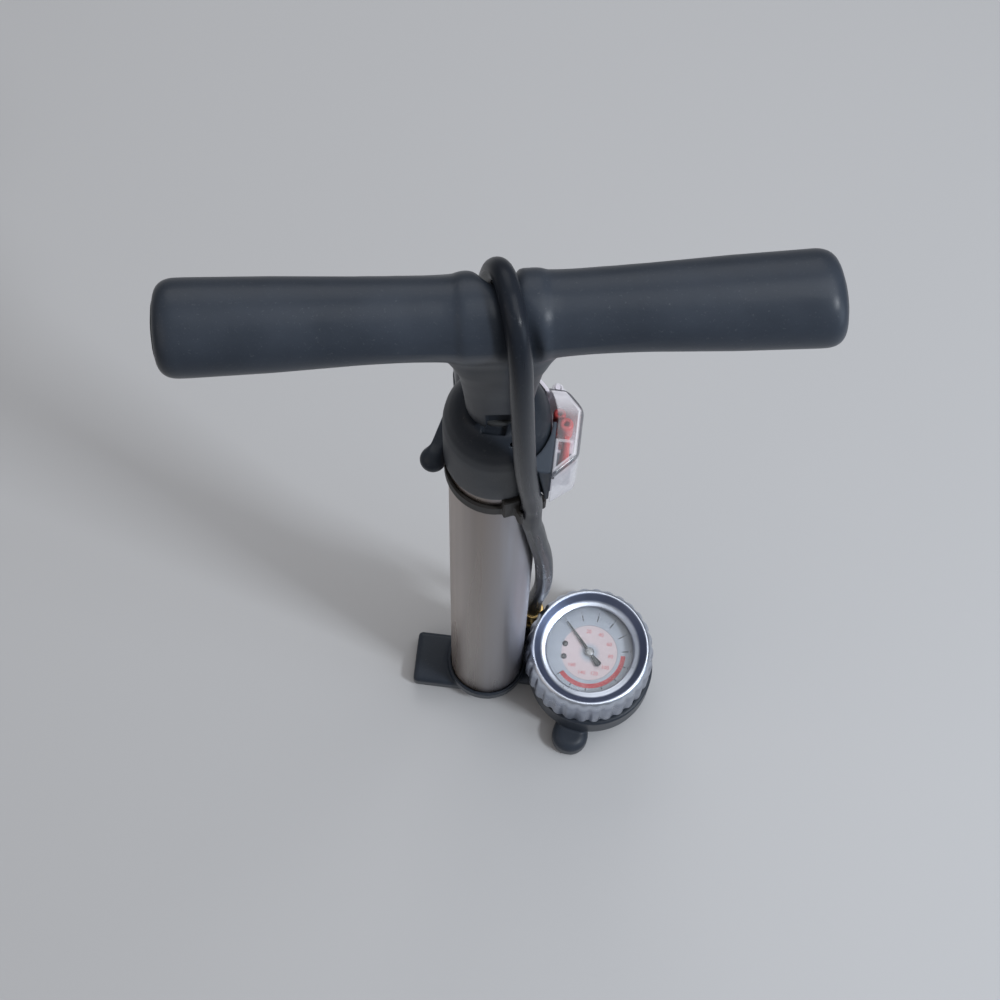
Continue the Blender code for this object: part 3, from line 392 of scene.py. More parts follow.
def finish(name):
    """A new material with its tree and its main shader."""
    made = bpy.data.materials.new(name)
    made.use_nodes = True
    return made, made.node_tree, made.node_tree.nodes["Principled BSDF"]


def feed(tree, socket, value):
    """Links an output to a socket, or sets the socket's own value."""
    if isinstance(value, bpy.types.NodeSocket):
        tree.links.new(value, socket)
    else:
        socket.default_value = (*value[:3], 1.0) if socket.type == "RGBA" else value


def add(tree, kind, inputs=None, **settings):
    """A shader node with its settings made and its inputs set or linked, by socket name or number."""
    made = tree.nodes.new("ShaderNode" + kind)
    for name, value in settings.items():
        setattr(made, name, value)
    for name, value in (inputs or {}).items():
        feed(tree, made.inputs[name], value)
    return made


def number(tree, operation, a, b=0.0, c=0.0):
    """One sum on the nodes; returns its output."""
    return add(tree, "Math", {0: a, 1: b, 2: c}, operation=operation).outputs[0]


def times(tree, a, b):
    return number(tree, "MULTIPLY", a, b)


def most(tree, first, *others):
    """The greatest of several values."""
    for other in others:
        first = number(tree, "MAXIMUM", first, other)
    return first


def here(tree, source="Object", scale=None, move=None):
    """Coordinates of the surface, moved and scaled."""
    spot = add(tree, "TexCoord").outputs[source]
    if scale or move:
        moved = {"Vector": spot, "Scale": scale or (1, 1, 1), "Location": move or (0, 0, 0)}
        spot = add(tree, "Mapping", moved).outputs[0]
    return spot


def axes(tree, move=None):
    """Object coordinates, an output for each axis."""
    return add(tree, "SeparateXYZ", {0: here(tree, move=move)}).outputs


def noise(tree, spot, scale, detail, rough=0.55):
    inputs = {"Vector": spot, "Scale": scale, "Detail": detail, "Roughness": rough}
    return add(tree, "TexNoise", inputs).outputs["Fac"]


def span(tree, value, low, high, to_low=0.0, to_high=1.0):
    """Maps a value's range to another, held at both ends."""
    limits = {"From Min": low, "From Max": high, "To Min": to_low, "To Max": to_high}
    return add(tree, "MapRange", {"Value": value, **limits}).outputs[0]


def blend_colour(tree, amount, a, b):
    made = add(tree, "Mix", data_type="RGBA")
    for name, kind, value in (("Factor", "VALUE", amount), ("A", "RGBA", a), ("B", "RGBA", b)):
        feed(tree, next(s for s in made.inputs if s.name == name and s.type == kind), value)
    return next(s for s in made.outputs if s.type == "RGBA")


def wire(tree, shader, **inputs):
    """Sets or links the shader's sockets, named with underscores for spaces."""
    for name, value in inputs.items():
        feed(tree, shader.inputs[name.replace("_", " ")], value)


def bump(tree, height, strength, distance):
    return add(tree, "Bump", {"Height": height, "Strength": strength, "Distance": distance}).outputs[0]


def scaled(colour, by):
    return tuple(min(1.0, c * by) for c in colour[:3])


MADE = {}


def look(name):
    """A finish by its name, made once."""
    if name not in MADE:
        MADE[name] = FINISHES[name]()
    return MADE[name]


def colours():
    return bpy.context.scene.pump_finish


def moulded_plastic(name, colour, rough, shade=None):
    """Satin moulded plastic: a fine leathered grain, cloudy wear in its gloss and a little pale dust."""
    made, tree, shader = finish(name)
    spot = here(tree)
    cloud = noise(tree, spot, 38.0, 4.0)
    fine = noise(tree, spot, 2600.0, 2.0)
    dust = span(tree, noise(tree, spot, 900.0, 5.0, 0.7), 0.6, 0.78)
    tone = blend_colour(tree, span(tree, cloud, 0.3, 0.7), scaled(colour, 0.88), scaled(colour, 1.12))
    tone = blend_colour(tree, times(tree, dust, 0.1), tone, (0.45, 0.46, 0.47))
    wire(tree, shader, Base_Color=shade(tree, tone) if shade else tone,
         Roughness=span(tree, cloud, 0.25, 0.75, rough - 0.06, rough + 0.08),
         Normal=bump(tree, fine, 0.35, 0.00006), Specular_IOR_Level=0.17)
    return made


def dark_neck(tree, tone):
    """Painted shade: darker down the handle's neck, below the grips."""
    down = span(tree, axes(tree)[2], HANDLE_Z - 0.012, HANDLE_Z - 0.034)
    return blend_colour(tree, down, tone, scaled(colours().charcoal, 0.55))


def pale_rails(tree, tone):
    """Paler on the tray's rails and shelf, and pale behind."""
    x, y, z = axes(tree)
    rails = times(tree, span(tree, x, 0.0229, 0.0234), span(tree, z, CAP_Z0 + 0.008, CAP_Z0 + 0.012))
    tone = blend_colour(tree, rails, tone, (0.17, 0.19, 0.23))
    return blend_colour(tree, span(tree, y, 0.0008, 0.0016), tone, (0.62, 0.58, 0.64))


def clouded(name, scale, detail, dark, pale, rough, stretch=None, relief=None, **inputs):
    """A plain finish clouded between two colours, its roughness one value or a span along the same cloud."""
    made, tree, shader = finish(name)
    cloud = noise(tree, here(tree, scale=stretch), scale, detail)
    if isinstance(rough, tuple):
        rough = span(tree, cloud, 0.3, 0.7, *rough)
    if relief:
        inputs["Normal"] = bump(tree, noise(tree, here(tree), relief[0], 2.0), relief[1], 0.0001)
    wire(tree, shader, Base_Color=blend_colour(tree, cloud, dark, pale), Roughness=rough, **inputs)
    return made


def hose_rubber():
    """Extruded rubber: faint draw lines along the hose, a soft bloom and small scuffs, on the hose's own UV."""
    made, tree, shader = finish("hose_rubber")
    colour = colours().hose
    along = here(tree, "UV", scale=(6.0, 0.35, 1.0))
    lines = noise(tree, here(tree, "UV", scale=(60.0, 0.5, 1.0)), 3.0, 3.0)
    bloom = noise(tree, along, 2.2, 4.0)
    scuff = span(tree, noise(tree, here(tree), 420.0, 6.0, 0.7), 0.6, 0.74)
    tone = blend_colour(tree, span(tree, bloom, 0.3, 0.7), scaled(colour, 0.86), scaled(colour, 1.18))
    tone = blend_colour(tree, times(tree, scuff, 0.12), tone, (0.22, 0.23, 0.24))
    wire(tree, shader, Base_Color=tone, Roughness=span(tree, bloom, 0.3, 0.7, 0.25, 0.34),
         Normal=bump(tree, lines, 0.25, 0.0001), Specular_IOR_Level=0.11)
    return made


def barrel_steel():
    """Satin drawn tube: fine lines along it in gloss and relief, over random streaks and a painted reflection across
    it, bright and warm on the left, darker in the middle, cool grey on the right.
    """
    made, tree, shader = finish("barrel_steel")
    colour = colours().steel
    drawn = noise(tree, here(tree, scale=(1.0, 1.0, 0.006)), 5200.0, 2.0, 0.5)
    bands = noise(tree, here(tree, scale=(1.0, 1.0, 0.03)), 95.0, 2.0)
    # Painted reflection: the colour runs from bright warm on the left to darker in the middle and cool grey on the
    # right.
    across = axes(tree)[0]
    painted_left_reflection = blend_colour(tree, span(tree, across, -0.015, -0.006), scaled(colour, 1.18), scaled(colour, 0.64))
    side = span(tree, across, -0.003, 0.011)
    streaks_and_painted_reflection = number(tree, "MULTIPLY_ADD", span(tree, bands, 0.3, 0.7), 0.2, times(tree, side, 0.8))
    tone = blend_colour(tree, streaks_and_painted_reflection, painted_left_reflection, (0.36, 0.37, 0.43))
    runs = noise(tree, here(tree, scale=(1.0, 1.0, 0.012), move=(0.003, 0.0, 0.0)), 150.0, 2.0)
    tone = blend_colour(tree, span(tree, runs, 0.42, 0.62, 0.0, 0.3), tone, scaled(colour, 0.55))
    tone = blend_colour(tree, span(tree, drawn, 0.45, 0.75, 0.0, 0.12), tone, scaled(colour, 0.8))
    wire(tree, shader, Base_Color=tone, Metallic=0.8, Roughness=span(tree, bands, 0.3, 0.7, 0.26, 0.32),
         Normal=bump(tree, drawn, 0.01, 0.000004))
    return made


def from_gauge_axis(tree):
    """Distance from the gauge's axis and clockwise angle from the scale's zero, as node outputs."""
    x, y, _ = axes(tree, (-GAUGE_AT[0], -GAUGE_AT[1], 0))
    away = number(tree, "SQRT", number(tree, "ADD", times(tree, x, x), times(tree, y, y)))
    clockwise = number(tree, "SUBTRACT", SCALE_ZERO, number(tree, "ARCTAN2", y, x))
    return away, number(tree, "FLOORED_MODULO", clockwise, 2 * math.pi)


def chrome():
    """Plated bezel: bright, with faint smears, its skirt painted darker and the slope between the window's lip and
    the outer edge painted dark blue: both painted reflections.
    """
    made, tree, shader = finish("chrome_plate")
    away, _ = from_gauge_axis(tree)
    smear = noise(tree, here(tree), 160.0, 5.0, 0.6)
    # Painted reflection: a dark blue ring on the slope inside the outer edge.
    slope = times(tree, span(tree, away, 0.025, 0.0261), span(tree, away, 0.0296, 0.0288))
    # Painted reflection: the skirt darker than the top.
    side = span(tree, axes(tree)[2], BEZEL_HIGH[2] - 0.003, BEZEL_HIGH[2] - 0.0075)
    tone = blend_colour(tree, side, (0.56, 0.6, 0.68), (0.32, 0.355, 0.44))
    tone = blend_colour(tree, slope, tone, (0.18, 0.21, 0.305))
    rough = number(tree, "MULTIPLY_ADD", slope, 0.12, span(tree, smear, 0.3, 0.75, 0.25, 0.37))
    wire(tree, shader, Base_Color=tone, Metallic=1.0, Roughness=rough)
    return made


def ring_mask(tree, value, low, high, soft):
    """One between two values and nought outside, with soft edges."""
    rise = span(tree, value, low - soft, low + soft)
    return times(tree, rise, span(tree, value, high + soft, high - soft))


def dial_print():
    """White dial, its white painted in shade as bluish grey: pale pink inner field, thin inner circle, black ticks,
    red arc over the top half of the scale.
    """
    made, tree, shader = finish("dial_print")
    away, turn = from_gauge_axis(tree)
    soft = 0.00008
    on_scale = span(tree, turn, SCALE_SWEEP + 0.05, SCALE_SWEEP + 0.045)
    cloud = noise(tree, here(tree), 90.0, 4.0)
    # Painted shade: the dial's white is a bluish grey, darker than its pink field.
    tone = blend_colour(tree, cloud, (0.35, 0.39, 0.46), (0.39, 0.43, 0.5))
    inner = times(tree, span(tree, away, 0.0148, 0.0144), span(tree, away, 0.003, 0.006))
    tone = blend_colour(tree, times(tree, inner, 0.7), tone, (0.66, 0.515, 0.525))
    circle = times(tree, ring_mask(tree, away, 0.01455, 0.01475, soft), on_scale)
    tone = blend_colour(tree, times(tree, circle, 0.75), tone, (0.16, 0.16, 0.17))
    for count, low, high, half, ink in ((11, 0.0171, 0.0203, 0.0003, 0.95), (55, 0.0184, 0.0195, 0.0001, 0.4)):
        pitch = SCALE_SWEEP / count
        wide = times(tree, number(tree, "PINGPONG", turn, pitch / 2), away)
        tick = times(tree, span(tree, wide, half + soft, half - soft), ring_mask(tree, away, low, high, soft))
        tick = times(tree, tick, span(tree, turn, SCALE_SWEEP + 0.03, SCALE_SWEEP + 0.02))
        tone = blend_colour(tree, times(tree, tick, ink), tone, (0.03, 0.03, 0.035))
    red = times(tree, ring_mask(tree, away, 0.0165, 0.0189, soft),
                 ring_mask(tree, turn, math.radians(130), SCALE_SWEEP, 0.004))
    tone = blend_colour(tree, red, tone, (0.46, 0.045, 0.055))
    wire(tree, shader, Base_Color=tone, Roughness=0.55, Specular_IOR_Level=0.3)
    return made


def red_plastic():
    """Glossy red moulding that lets a little light in."""
    red = colours().accent
    return clouded("red_plastic", 260.0, 3.0, scaled(red, 0.9), scaled(red, 1.15), 0.3,
                   Subsurface_Weight=0.15, Subsurface_Scale=0.002)


def pale_floor():
    """Matt floor, very faintly clouded."""
    pale = bpy.context.scene.pump_stage.floor
    return clouded("pale_floor", 3.0, 4.0, scaled(pale, 0.985), scaled(pale, 1.015), 0.85, Specular_IOR_Level=0.2)


def clear_cover():
    """Clear cover with handling marks, frosted behind, on its front and ribs, with a painted dark line round its
    thick edge and a painted highlight line just inside it.
    """
    made, tree, shader = finish("clear_cover")
    marks = noise(tree, here(tree), 240.0, 5.0, 0.65)
    x, y, z = axes(tree)
    _, high = low_high("case_cover")
    front = number(tree, "ADD", number(tree, "MULTIPLY_ADD", x, FRONT_X, -FRONT_X * FRONT_AT[0]),
                   number(tree, "MULTIPLY_ADD", y, -FRONT_Y, FRONT_Y * FRONT_AT[1]))
    frosted = most(tree, span(tree, y, 0.004, 0.011), span(tree, front, -0.0018, -0.0012, 0.0, 0.85))
    ribs = times(tree, span(tree, z, CAP_Z0 + 0.0421, CAP_Z0 + 0.0423), span(tree, y, -0.0054, -0.0058, 0.0, 0.7))
    slant = math.sqrt(0.5)
    corner = number(tree, "MULTIPLY_ADD", number(tree, "ADD", x, y), slant, -(high[0] + CASE_Y1 - CASE_BEVEL) * slant)
    edge = most(tree, front, corner, number(tree, "SUBTRACT", x, high[0]), number(tree, "SUBTRACT", y, CASE_Y1))
    top = high[2]
    # Painted shade: a dark band along the cover's outer edges near its top.
    painted_dark_edge = times(tree, span(tree, edge, -0.0013, -0.001), span(tree, z, top - 0.003, top - 0.0024))
    # Painted highlight: a pale line on the top, just inside the edges.
    glint = times(tree, ring_mask(tree, edge, -0.0022, -0.0015, 0.0001), span(tree, z, top - 0.0011, top - 0.0008))
    tone = blend_colour(tree, marks, (0.7, 0.68, 0.73), (0.8, 0.78, 0.83))
    tone = blend_colour(tree, painted_dark_edge, tone, (0.055, 0.06, 0.075))
    frost_and_painted_edges = most(tree, frosted, ribs, painted_dark_edge, glint)
    haze = number(tree, "MULTIPLY_ADD", frost_and_painted_edges, 0.55, span(tree, marks, 0.3, 0.75, 0.05, 0.11))
    wire(tree, shader, Base_Color=tone, Roughness=span(tree, marks, 0.3, 0.7, 0.1, 0.22), Alpha=haze,
         Specular_IOR_Level=0.7)
    return made


def lens_glass():
    made, tree, shader = finish("lens_clear")
    smear = noise(tree, here(tree), 140.0, 5.0, 0.6)
    wire(tree, shader, Base_Color=(0.86, 0.89, 0.93), Roughness=span(tree, smear, 0.3, 0.7, 0.02, 0.1),
         Alpha=span(tree, smear, 0.3, 0.8, 0.03, 0.09), Specular_IOR_Level=1.0)
    return made


FINISHES = {
    "charcoal": lambda: moulded_plastic("charcoal_plastic", colours().charcoal, 0.35),
    # The cap is the same charcoal plastic painted darker: painted shade.
    "cap": lambda: moulded_plastic("shaded_cap_plastic", scaled(colours().charcoal, 0.58), 0.42),
    "handle": lambda: moulded_plastic("handle_plastic", colours().charcoal, 0.35, dark_neck),
    # Handle plastic with painted shade down its neck.
    "dark": lambda: moulded_plastic("dark_plastic", (0.018, 0.021, 0.026), 0.48),
    "tray": lambda: moulded_plastic("tray_plastic", (0.058, 0.07, 0.09), 0.48, pale_rails),
    "clip": lambda: moulded_plastic("clip_plastic", (0.024, 0.022, 0.021), 0.52),
    "rubber": lambda: clouded("soft_rubber", 120.0, 4.0, (0.016, 0.017, 0.018), (0.034, 0.035, 0.036), (0.62, 0.78),
                              relief=(1800.0, 0.4)),
    "steel": lambda: clouded("bright_steel", 300.0, 4.0, (0.56, 0.56, 0.57), (0.7, 0.7, 0.71), (0.18, 0.32),
                             Metallic=1.0),
    "brass": lambda: clouded("turned_brass", 2200.0, 3.0, (0.55, 0.36, 0.13), (0.72, 0.52, 0.22), (0.22, 0.38),
                             stretch=(0.05, 0.05, 1.0), Metallic=1.0),
    "cup": lambda: clouded("cup_enamel", 60.0, 4.0, (0.2, 0.205, 0.215), (0.27, 0.275, 0.285), 0.32,
                           relief=(700.0, 0.2), Metallic=0.6),
    "ink": lambda: clouded("red_ink", 900.0, 3.0, (0.5, 0.07, 0.08), (0.58, 0.11, 0.11), 0.55),
    "black": lambda: clouded("black_paint", 700.0, 3.0, (0.012, 0.012, 0.014), (0.024, 0.024, 0.027), 0.42),
    "hose": hose_rubber, "barrel": barrel_steel, "chrome": chrome, "dial": dial_print, "red": red_plastic,
    "cover": clear_cover, "lens": lens_glass, "floor": pale_floor,
}


def dress(look_name, *nodes):
    """Gives CAD nodes that stay in view a finish."""
    for node in nodes:
        slots = frame["nodes"][node].data.materials
        slots.clear()
        slots.append(look(look_name))


# Hose


HOSE_ROUTE = [
    (0.0215, 0.0235, 0.0446), (0.0216, 0.0233, 0.058), (0.0222, 0.0215, 0.076),
    (0.0234, 0.0175, 0.1), (0.0246, 0.0125, 0.132), (0.025, 0.008, 0.164), (0.0248, 0.0038, 0.193),
    (0.0243, -0.0006, 0.221), (0.0235, -0.005, 0.25), (0.0222, -0.0093, 0.278), (0.0205, -0.0131, 0.304),
    (0.0188, -0.0161, 0.33), (0.0173, -0.0181, 0.348), (0.0169, -0.0186, 0.36), (0.0168, -0.0188, 0.372),
    (0.0166, -0.0197, 0.381), (0.0158, -0.021, 0.396), (0.0146, -0.0228, 0.414), (0.0134, -0.0238, 0.434),
    (0.0124, -0.024, 0.454), (0.0115, -0.0235, 0.474), (0.0106, -0.0224, 0.494), (0.0097, -0.0207, 0.512),
    (0.0088, -0.0183, 0.527), (0.0076, -0.0149, 0.538), (0.006, -0.0103, 0.5452), (0.0042, -0.005, 0.5482),
    (0.0022, 0.0008, 0.5484), (0.0, 0.0066, 0.5462), (-0.0022, 0.0115, 0.5411), (-0.0042, 0.0149, 0.5326),
    (-0.0055, 0.0172, 0.5214), (-0.0066, 0.0199, 0.506), (-0.0073, 0.0237, 0.487), (-0.0078, 0.0274, 0.465),
    (-0.008, 0.0304, 0.443), (-0.008, 0.0319, 0.428), (-0.008, 0.032, 0.4181),
]


def smooth_path(points, count):
    """A Catmull-Rom curve through the points, then read off at even steps of its length."""
    p = np.array(points, float)
    p = np.concatenate([2 * p[:1] - p[1:2], p, 2 * p[-1:] - p[-2:-1]])
    t = np.linspace(0, 1, 24, endpoint=False)[None, :, None]
    a, b, c, d = (p[i:len(p) - 3 + i, None] for i in range(4))
    curve = 0.5 * (2 * b + (c - a) * t + (2 * a - 5 * b + 4 * c - d) * t**2 + (3 * b - a - 3 * c + d) * t**3)
    curve = np.concatenate([curve.reshape(-1, 3), p[-2:-1]])
    run = np.concatenate([[0], np.cumsum(np.linalg.norm(np.diff(curve, axis=0), axis=1))])
    even = np.linspace(0, run[-1], count)
    return np.stack([np.interp(even, run, curve[:, k]) for k in range(3)], -1), run[-1]


def sweep(path, radius, sides):
    """A round profile carried along a path: centre + r(cos a U + sin a V), U and V square to the path's heading.

    U is the part of a fixed direction that is square to the heading, so it turns smoothly along the path.
    """
    heading = np.gradient(path, axis=0)
    heading /= np.linalg.norm(heading, axis=1, keepdims=True)
    fixed = np.array([0.93, 0.37, 0.02])
    u = fixed - heading * (heading @ fixed)[:, None]
    u /= np.linalg.norm(u, axis=1, keepdims=True)
    v = np.cross(heading, u)
    angle = np.linspace(0, 2 * np.pi, sides, endpoint=False)
    ring = np.cos(angle)[None, :, None] * u[:, None] + np.sin(angle)[None, :, None] * v[:, None]
    points = path[:, None] + np.broadcast_to(np.asarray(radius, float).reshape(-1, 1, 1), (len(path), 1, 1)) * ring
    return points.reshape(-1, 3), grid_faces(len(path), sides)


class PUMP_OT_hose(bpy.types.Operator):
    """Hose from the base, up through the clip, over the handle and down to the parked head"""

    bl_idname = "pump.hose"
    bl_label = "Hose"

    def execute(self, context):
        thick = shape().hose_diameter
        sides, (path, length) = 32, smooth_path(HOSE_ROUTE, 420)
        # Both ends draw in to a point, so that the tube is closed
        tube = np.pad(path, ((2, 2), (0, 0)), mode="edge")
        tube[:2, 2] -= (0.0004, 0.0003)
        tube[-2:, 2] -= (0.0003, 0.0004)
        radius = np.full(len(tube), thick / 2)
        radius[[0, -1]] = 1e-5
        radius[[1, -2]] -= 0.0004
        points, faces = sweep(tube, radius, sides)
        row, column = faces // sides, faces % sides
        wrap = (column == 0) & (column[:, [1, 2, 3, 0]].max(1, keepdims=True) == sides - 1)
        uv = np.stack([np.where(wrap, sides, column) / sides, row / len(tube) * length / 0.05], -1)
        obj = new_piece("hose_tube", points, faces, "hose", None, uv=uv.reshape(-1, 2))
        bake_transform(obj)
        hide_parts("hose")
        nodes = frame["nodes"]
        carried = [nodes[n] for n in ("head_seal", "head_collar", "lever_pin")]
        carried += [bpy.data.objects[n] for n in ("head_shell", "head_strain_boot", "lever_arm")]
        return {"FINISHED"}


# Handle and plunger


def grip_table():
    return table([(0, 0.0152), (0.0128, 0.0152), (0.0146, 0.0149), (0.016, 0.0142), (0.02, 0.014), (0.031, 0.0143),
                  (0.051, 0.0151), (0.078, 0.0163), (0.106, 0.017), (0.118, 0.017)], 0.0006)


def neck_tables():
    rows = [(-0.0887, 0.0124, 0.0119), (-0.071, 0.0129, 0.0119), (-0.055, 0.0141, 0.0124), (-0.037, 0.0158, 0.0131),
            (-0.028, 0.0182, 0.0133), (-0.022, 0.0212, 0.0133), (-0.0178, 0.0248, 0.0131), (-0.014, 0.0292, 0.0126),
            (-0.01, 0.034, 0.0118), (-0.002, 0.042, 0.01)]
    return (table([(z, wide) for z, wide, _ in rows], 0.002), table([(z, deep) for z, _, deep in rows], 0.002))


# Points of the route: over the handle, past the case and in the clip
SADDLE_RUN, CASE_RUN, CLIP_POINT = (20, 35), (13, 20), 13


def near_hose(p, run, lift=0.0, yaws=(0.0,)):
    """Distance to a run of the hose's route, the least over frames that are lifted and turned by each yaw.

    Points further off than a hose's width are given that width.
    """
    width = 0.009
    nearest = np.full(np.shape(p[0]), width)
    for yaw in yaws:
        line, _ = smooth_path(placed(np.array(HOSE_ROUTE[slice(*run)]) - (0, 0, lift), yaw=-yaw), 40)
        low, high = line.min(0) - width, line.max(0) + width
        close = np.all([(c > a) & (c < b) for c, a, b in zip(p, low, high)], axis=0)
        part = [c[close] for c in p]
        if part[0].size:
            reach = np.min([rod_field(part, a, b, 0.0) for a, b in zip(line, line[1:])], axis=0)
            nearest[close] = np.minimum(nearest[close], reach)
    return nearest


class PUMP_OT_handle(bpy.types.Operator):
    """One-piece T-handle with flared grips, hose saddle and a neck that blends into them, and its end plugs"""

    bl_idname = "pump.handle"
    bl_label = "Handle"

    def execute(self, context):
        right, left, lean = 0.1154, 0.117, 0.08  # Where the grips end, and the slant of the right one
        rise, fillet = shape().grip_rise, shape().neck_fillet
        swing = HANDLE_YAW + np.linspace(-HANDLE_TURN, HANDLE_TURN, 5)  # room to turn under the hose
        grip_x, grip_r = grip_table()
        (neck_z, neck_a), (_, neck_b) = neck_tables()

        def field(p):
            """Grip: distance from the bar's line less its radius. Neck: a squared ellipse that widens upwards."""
            x, y, z = p
            along = np.abs(x)
            grip = np.hypot(y, z - rise * (along / left) ** 2) - np.interp(along, grip_x, grip_r)
            grip = carve(grip, np.where(x > 0, right - lean * y, left) - along, 0.0078)
            wide, deep = np.interp(z, neck_z, neck_a), np.interp(z, neck_z, neck_b)
            square = np.interp(z, [-0.086, -0.072, -0.03, -0.016], [2.0, 3.4, 3.4, 2.2])
            oval = ((np.abs(x) / wide) ** square + (np.abs(y) / deep) ** square) ** (1 / square)
            neck = (oval - 1) * np.minimum(wide, deep)
            neck = np.maximum(carve(neck, z + 0.0887, 0.0014), z + 0.002)
            whole = join(grip, neck, fillet)
            whole = carve(whole, np.maximum(np.hypot(x, y) - 0.0052, z + 0.042), 0.0004)
            whole = carve(whole, box_field(p, (-0.0047, -0.03, -0.1), (0.0042, -0.008, -0.0715), 0.0006), 0.0005)
            saddle = near_hose(p, SADDLE_RUN, HANDLE_Z, swing) - shape().hose_diameter / 2 - 0.0001
            return carve(whole, saddle, 0.003)

        place = (0, 0, HANDLE_Z)
        moulded("handle_body", field, (-0.119, -0.02, -0.092), (0.118, 0.02, 0.022), 0.00115, "handle", "handle",
                "handle", place, HANDLE_YAW)
        profile = [(0, 0.0009), (0.006, 0.0008), (0.0098, 0.0003), (0.0102, -0.0002), (0.0102, -0.008), (0, -0.008)]
        points, faces = revolve(rounded(profile, 0.0004))
        for name, end, aim in (("right", right, (1, lean, 0)), ("left", -left, (-1, 0, 0))):
            plug = placed(placed(points, (end, 0, rise), aim), place, None, HANDLE_YAW)
            plug = new_piece("grip_end_" + name, plug, faces, "dark", "handle", "grip_plug_" + name)
            sharpen(welded(plug), 50)
        low, high = low_high("piston_rod")
        r = (high[0] - low[0]) / 2
        sleeve("plunger_rod", 0.0036, r, low[2], high[2], 0.0004, "steel", "handle", "piston_rod", 48)
        dress("steel", "rod_pin", "piston_screw")
        dress("dark", "piston", "rod_bush")
        dress("rubber", "piston_ring")
        return {"FINISHED"}


# Barrel, cap and clip


class PUMP_OT_barrel(bpy.types.Operator):
    """Satin steel barrel, the cap over its end with notch, screw hole and parking peg, and the rod's buffer"""

    bl_idname = "pump.barrel"
    bl_label = "Barrel and cap"

    def execute(self, context):
        sleeve("barrel_sleeve", BARREL_R - 0.0012, BARREL_R, BARREL_LOW[2], BARREL_HIGH[2], 0.0004, "barrel", "base",
               "barrel_tube", 160)
        heights, radii = table([(CAP_Z0, CAP_R - 0.0006), (CAP_Z0 + 0.0012, CAP_R), (CAP_Z0 + 0.038, CAP_R),
                                (CAP_Z0 + 0.0445, 0.0203), (CAP_Z0 + 0.0505, 0.0183), (CAP_Z0 + 0.055, 0.0158),
                                (CAP_Z0 + 0.0577, 0.0132)], 0.0012)
        peg_z = CAP_Z0 + 0.0095
        out = np.array([math.cos(HEAD_YAW), math.sin(HEAD_YAW)])

        def field(p):
            """Distance from the barrel's axis less the cap's radius at that height, with its bores, notch and peg."""
            x, y, z = p
            away = np.hypot(x, y)
            cap = away - np.interp(z, heights, radii)
            cap = carve(carve(cap, CAP_Z1 - z, 0.0014), z - CAP_Z0, 0.0012)
            cap = join(cap, rod_field(p, (*out * 0.019, peg_z), (*out * 0.029, peg_z), 0.0036), 0.001)
            notch = box_field(p, (-0.0047, -0.0121, CAP_Z1 - 0.0022), (0.0042, -0.008, CAP_Z1 + 0.004), 0.0006)
            screw = rod_field(p, (0.0062, -0.0102, CAP_Z1 - 0.0093), (0.008, -0.018, CAP_Z1 + 0.001), 0.001)
            cap = carve(carve(cap, notch, 0.0005), screw, 0.0005)
            hollow = lidded(away - 0.0193, z, CAP_Z0 - 0.01, BARREL_HIGH[2] + GAP, 0.0002)
            return carve(carve(cap, hollow, 0.0003), away - 0.0058, 0.0004)

        moulded("cap_body", field, (-0.0225, -0.0225, CAP_Z0 - 0.001), (0.0225, 0.0345, CAP_Z1 + 0.001), 0.00062,
                "cap", "base", "top_cap")
        low, high = low_high("buffer_ring")
        sleeve("rod_buffer", 0.0056, high[0], low[2], high[2], 0.0009, "rubber", "base", "buffer_ring", 72)
        dress("rubber", "barrel_gasket")
        return {"FINISHED"}


class PUMP_OT_clip(bpy.types.Operator):
    """Clip ring round the barrel, its rib up to the cap and the half-round that holds the hose"""

    bl_idname = "pump.clip"
    bl_label = "Hose clip"

    def execute(self, context):
        low, high = low_high("hose_clip_ring")
        z0, z1 = low[2], low[2] + 0.009
        rib_yaw = math.radians(-66)
        c, s = math.cos(rib_yaw), math.sin(rib_yaw)
        hose = np.array(HOSE_ROUTE[CLIP_POINT][:2])
        reach = float(np.hypot(*hose))

        def field(p):
            """A band about the barrel, a rib and a post, with the hose's bore and the barrel's bore cut out."""
            x, y, z = p
            away = np.hypot(x, y)
            band = lidded(np.maximum(away - 0.0207, 0.015 - away), z, z0, z1, 0.0006)
            turned_p = (x * c + y * s, -x * s + y * c, z)
            rib = box_field(turned_p, (0.015, -0.0035, z0 + 0.0007), (0.0224, 0.0035, high[2]), 0.0007)
            holder = post_field(p, hose, 0.0066, z0 + 0.0004, z1 + 0.003, 0.0005)
            out = (x * hose[0] + y * hose[1]) / reach - reach
            holder = carve(holder, 0.001 - out, 0.0008)
            whole = join(join(band, rib, 0.001), holder, 0.0014)
            whole = carve(whole, np.hypot(x - hose[0], y - hose[1]) - 0.0048, 0.0004)
            return carve(whole, away - BARREL_R - GAP, 0.0002)

        moulded("clip_band", field, (-0.022, -0.027, z0 - 0.001), (0.0248, 0.022, high[2] + 0.001), 0.0005, "clip",
                "base", "hose_clip_ring")
        return {"FINISHED"}


# Base and feet


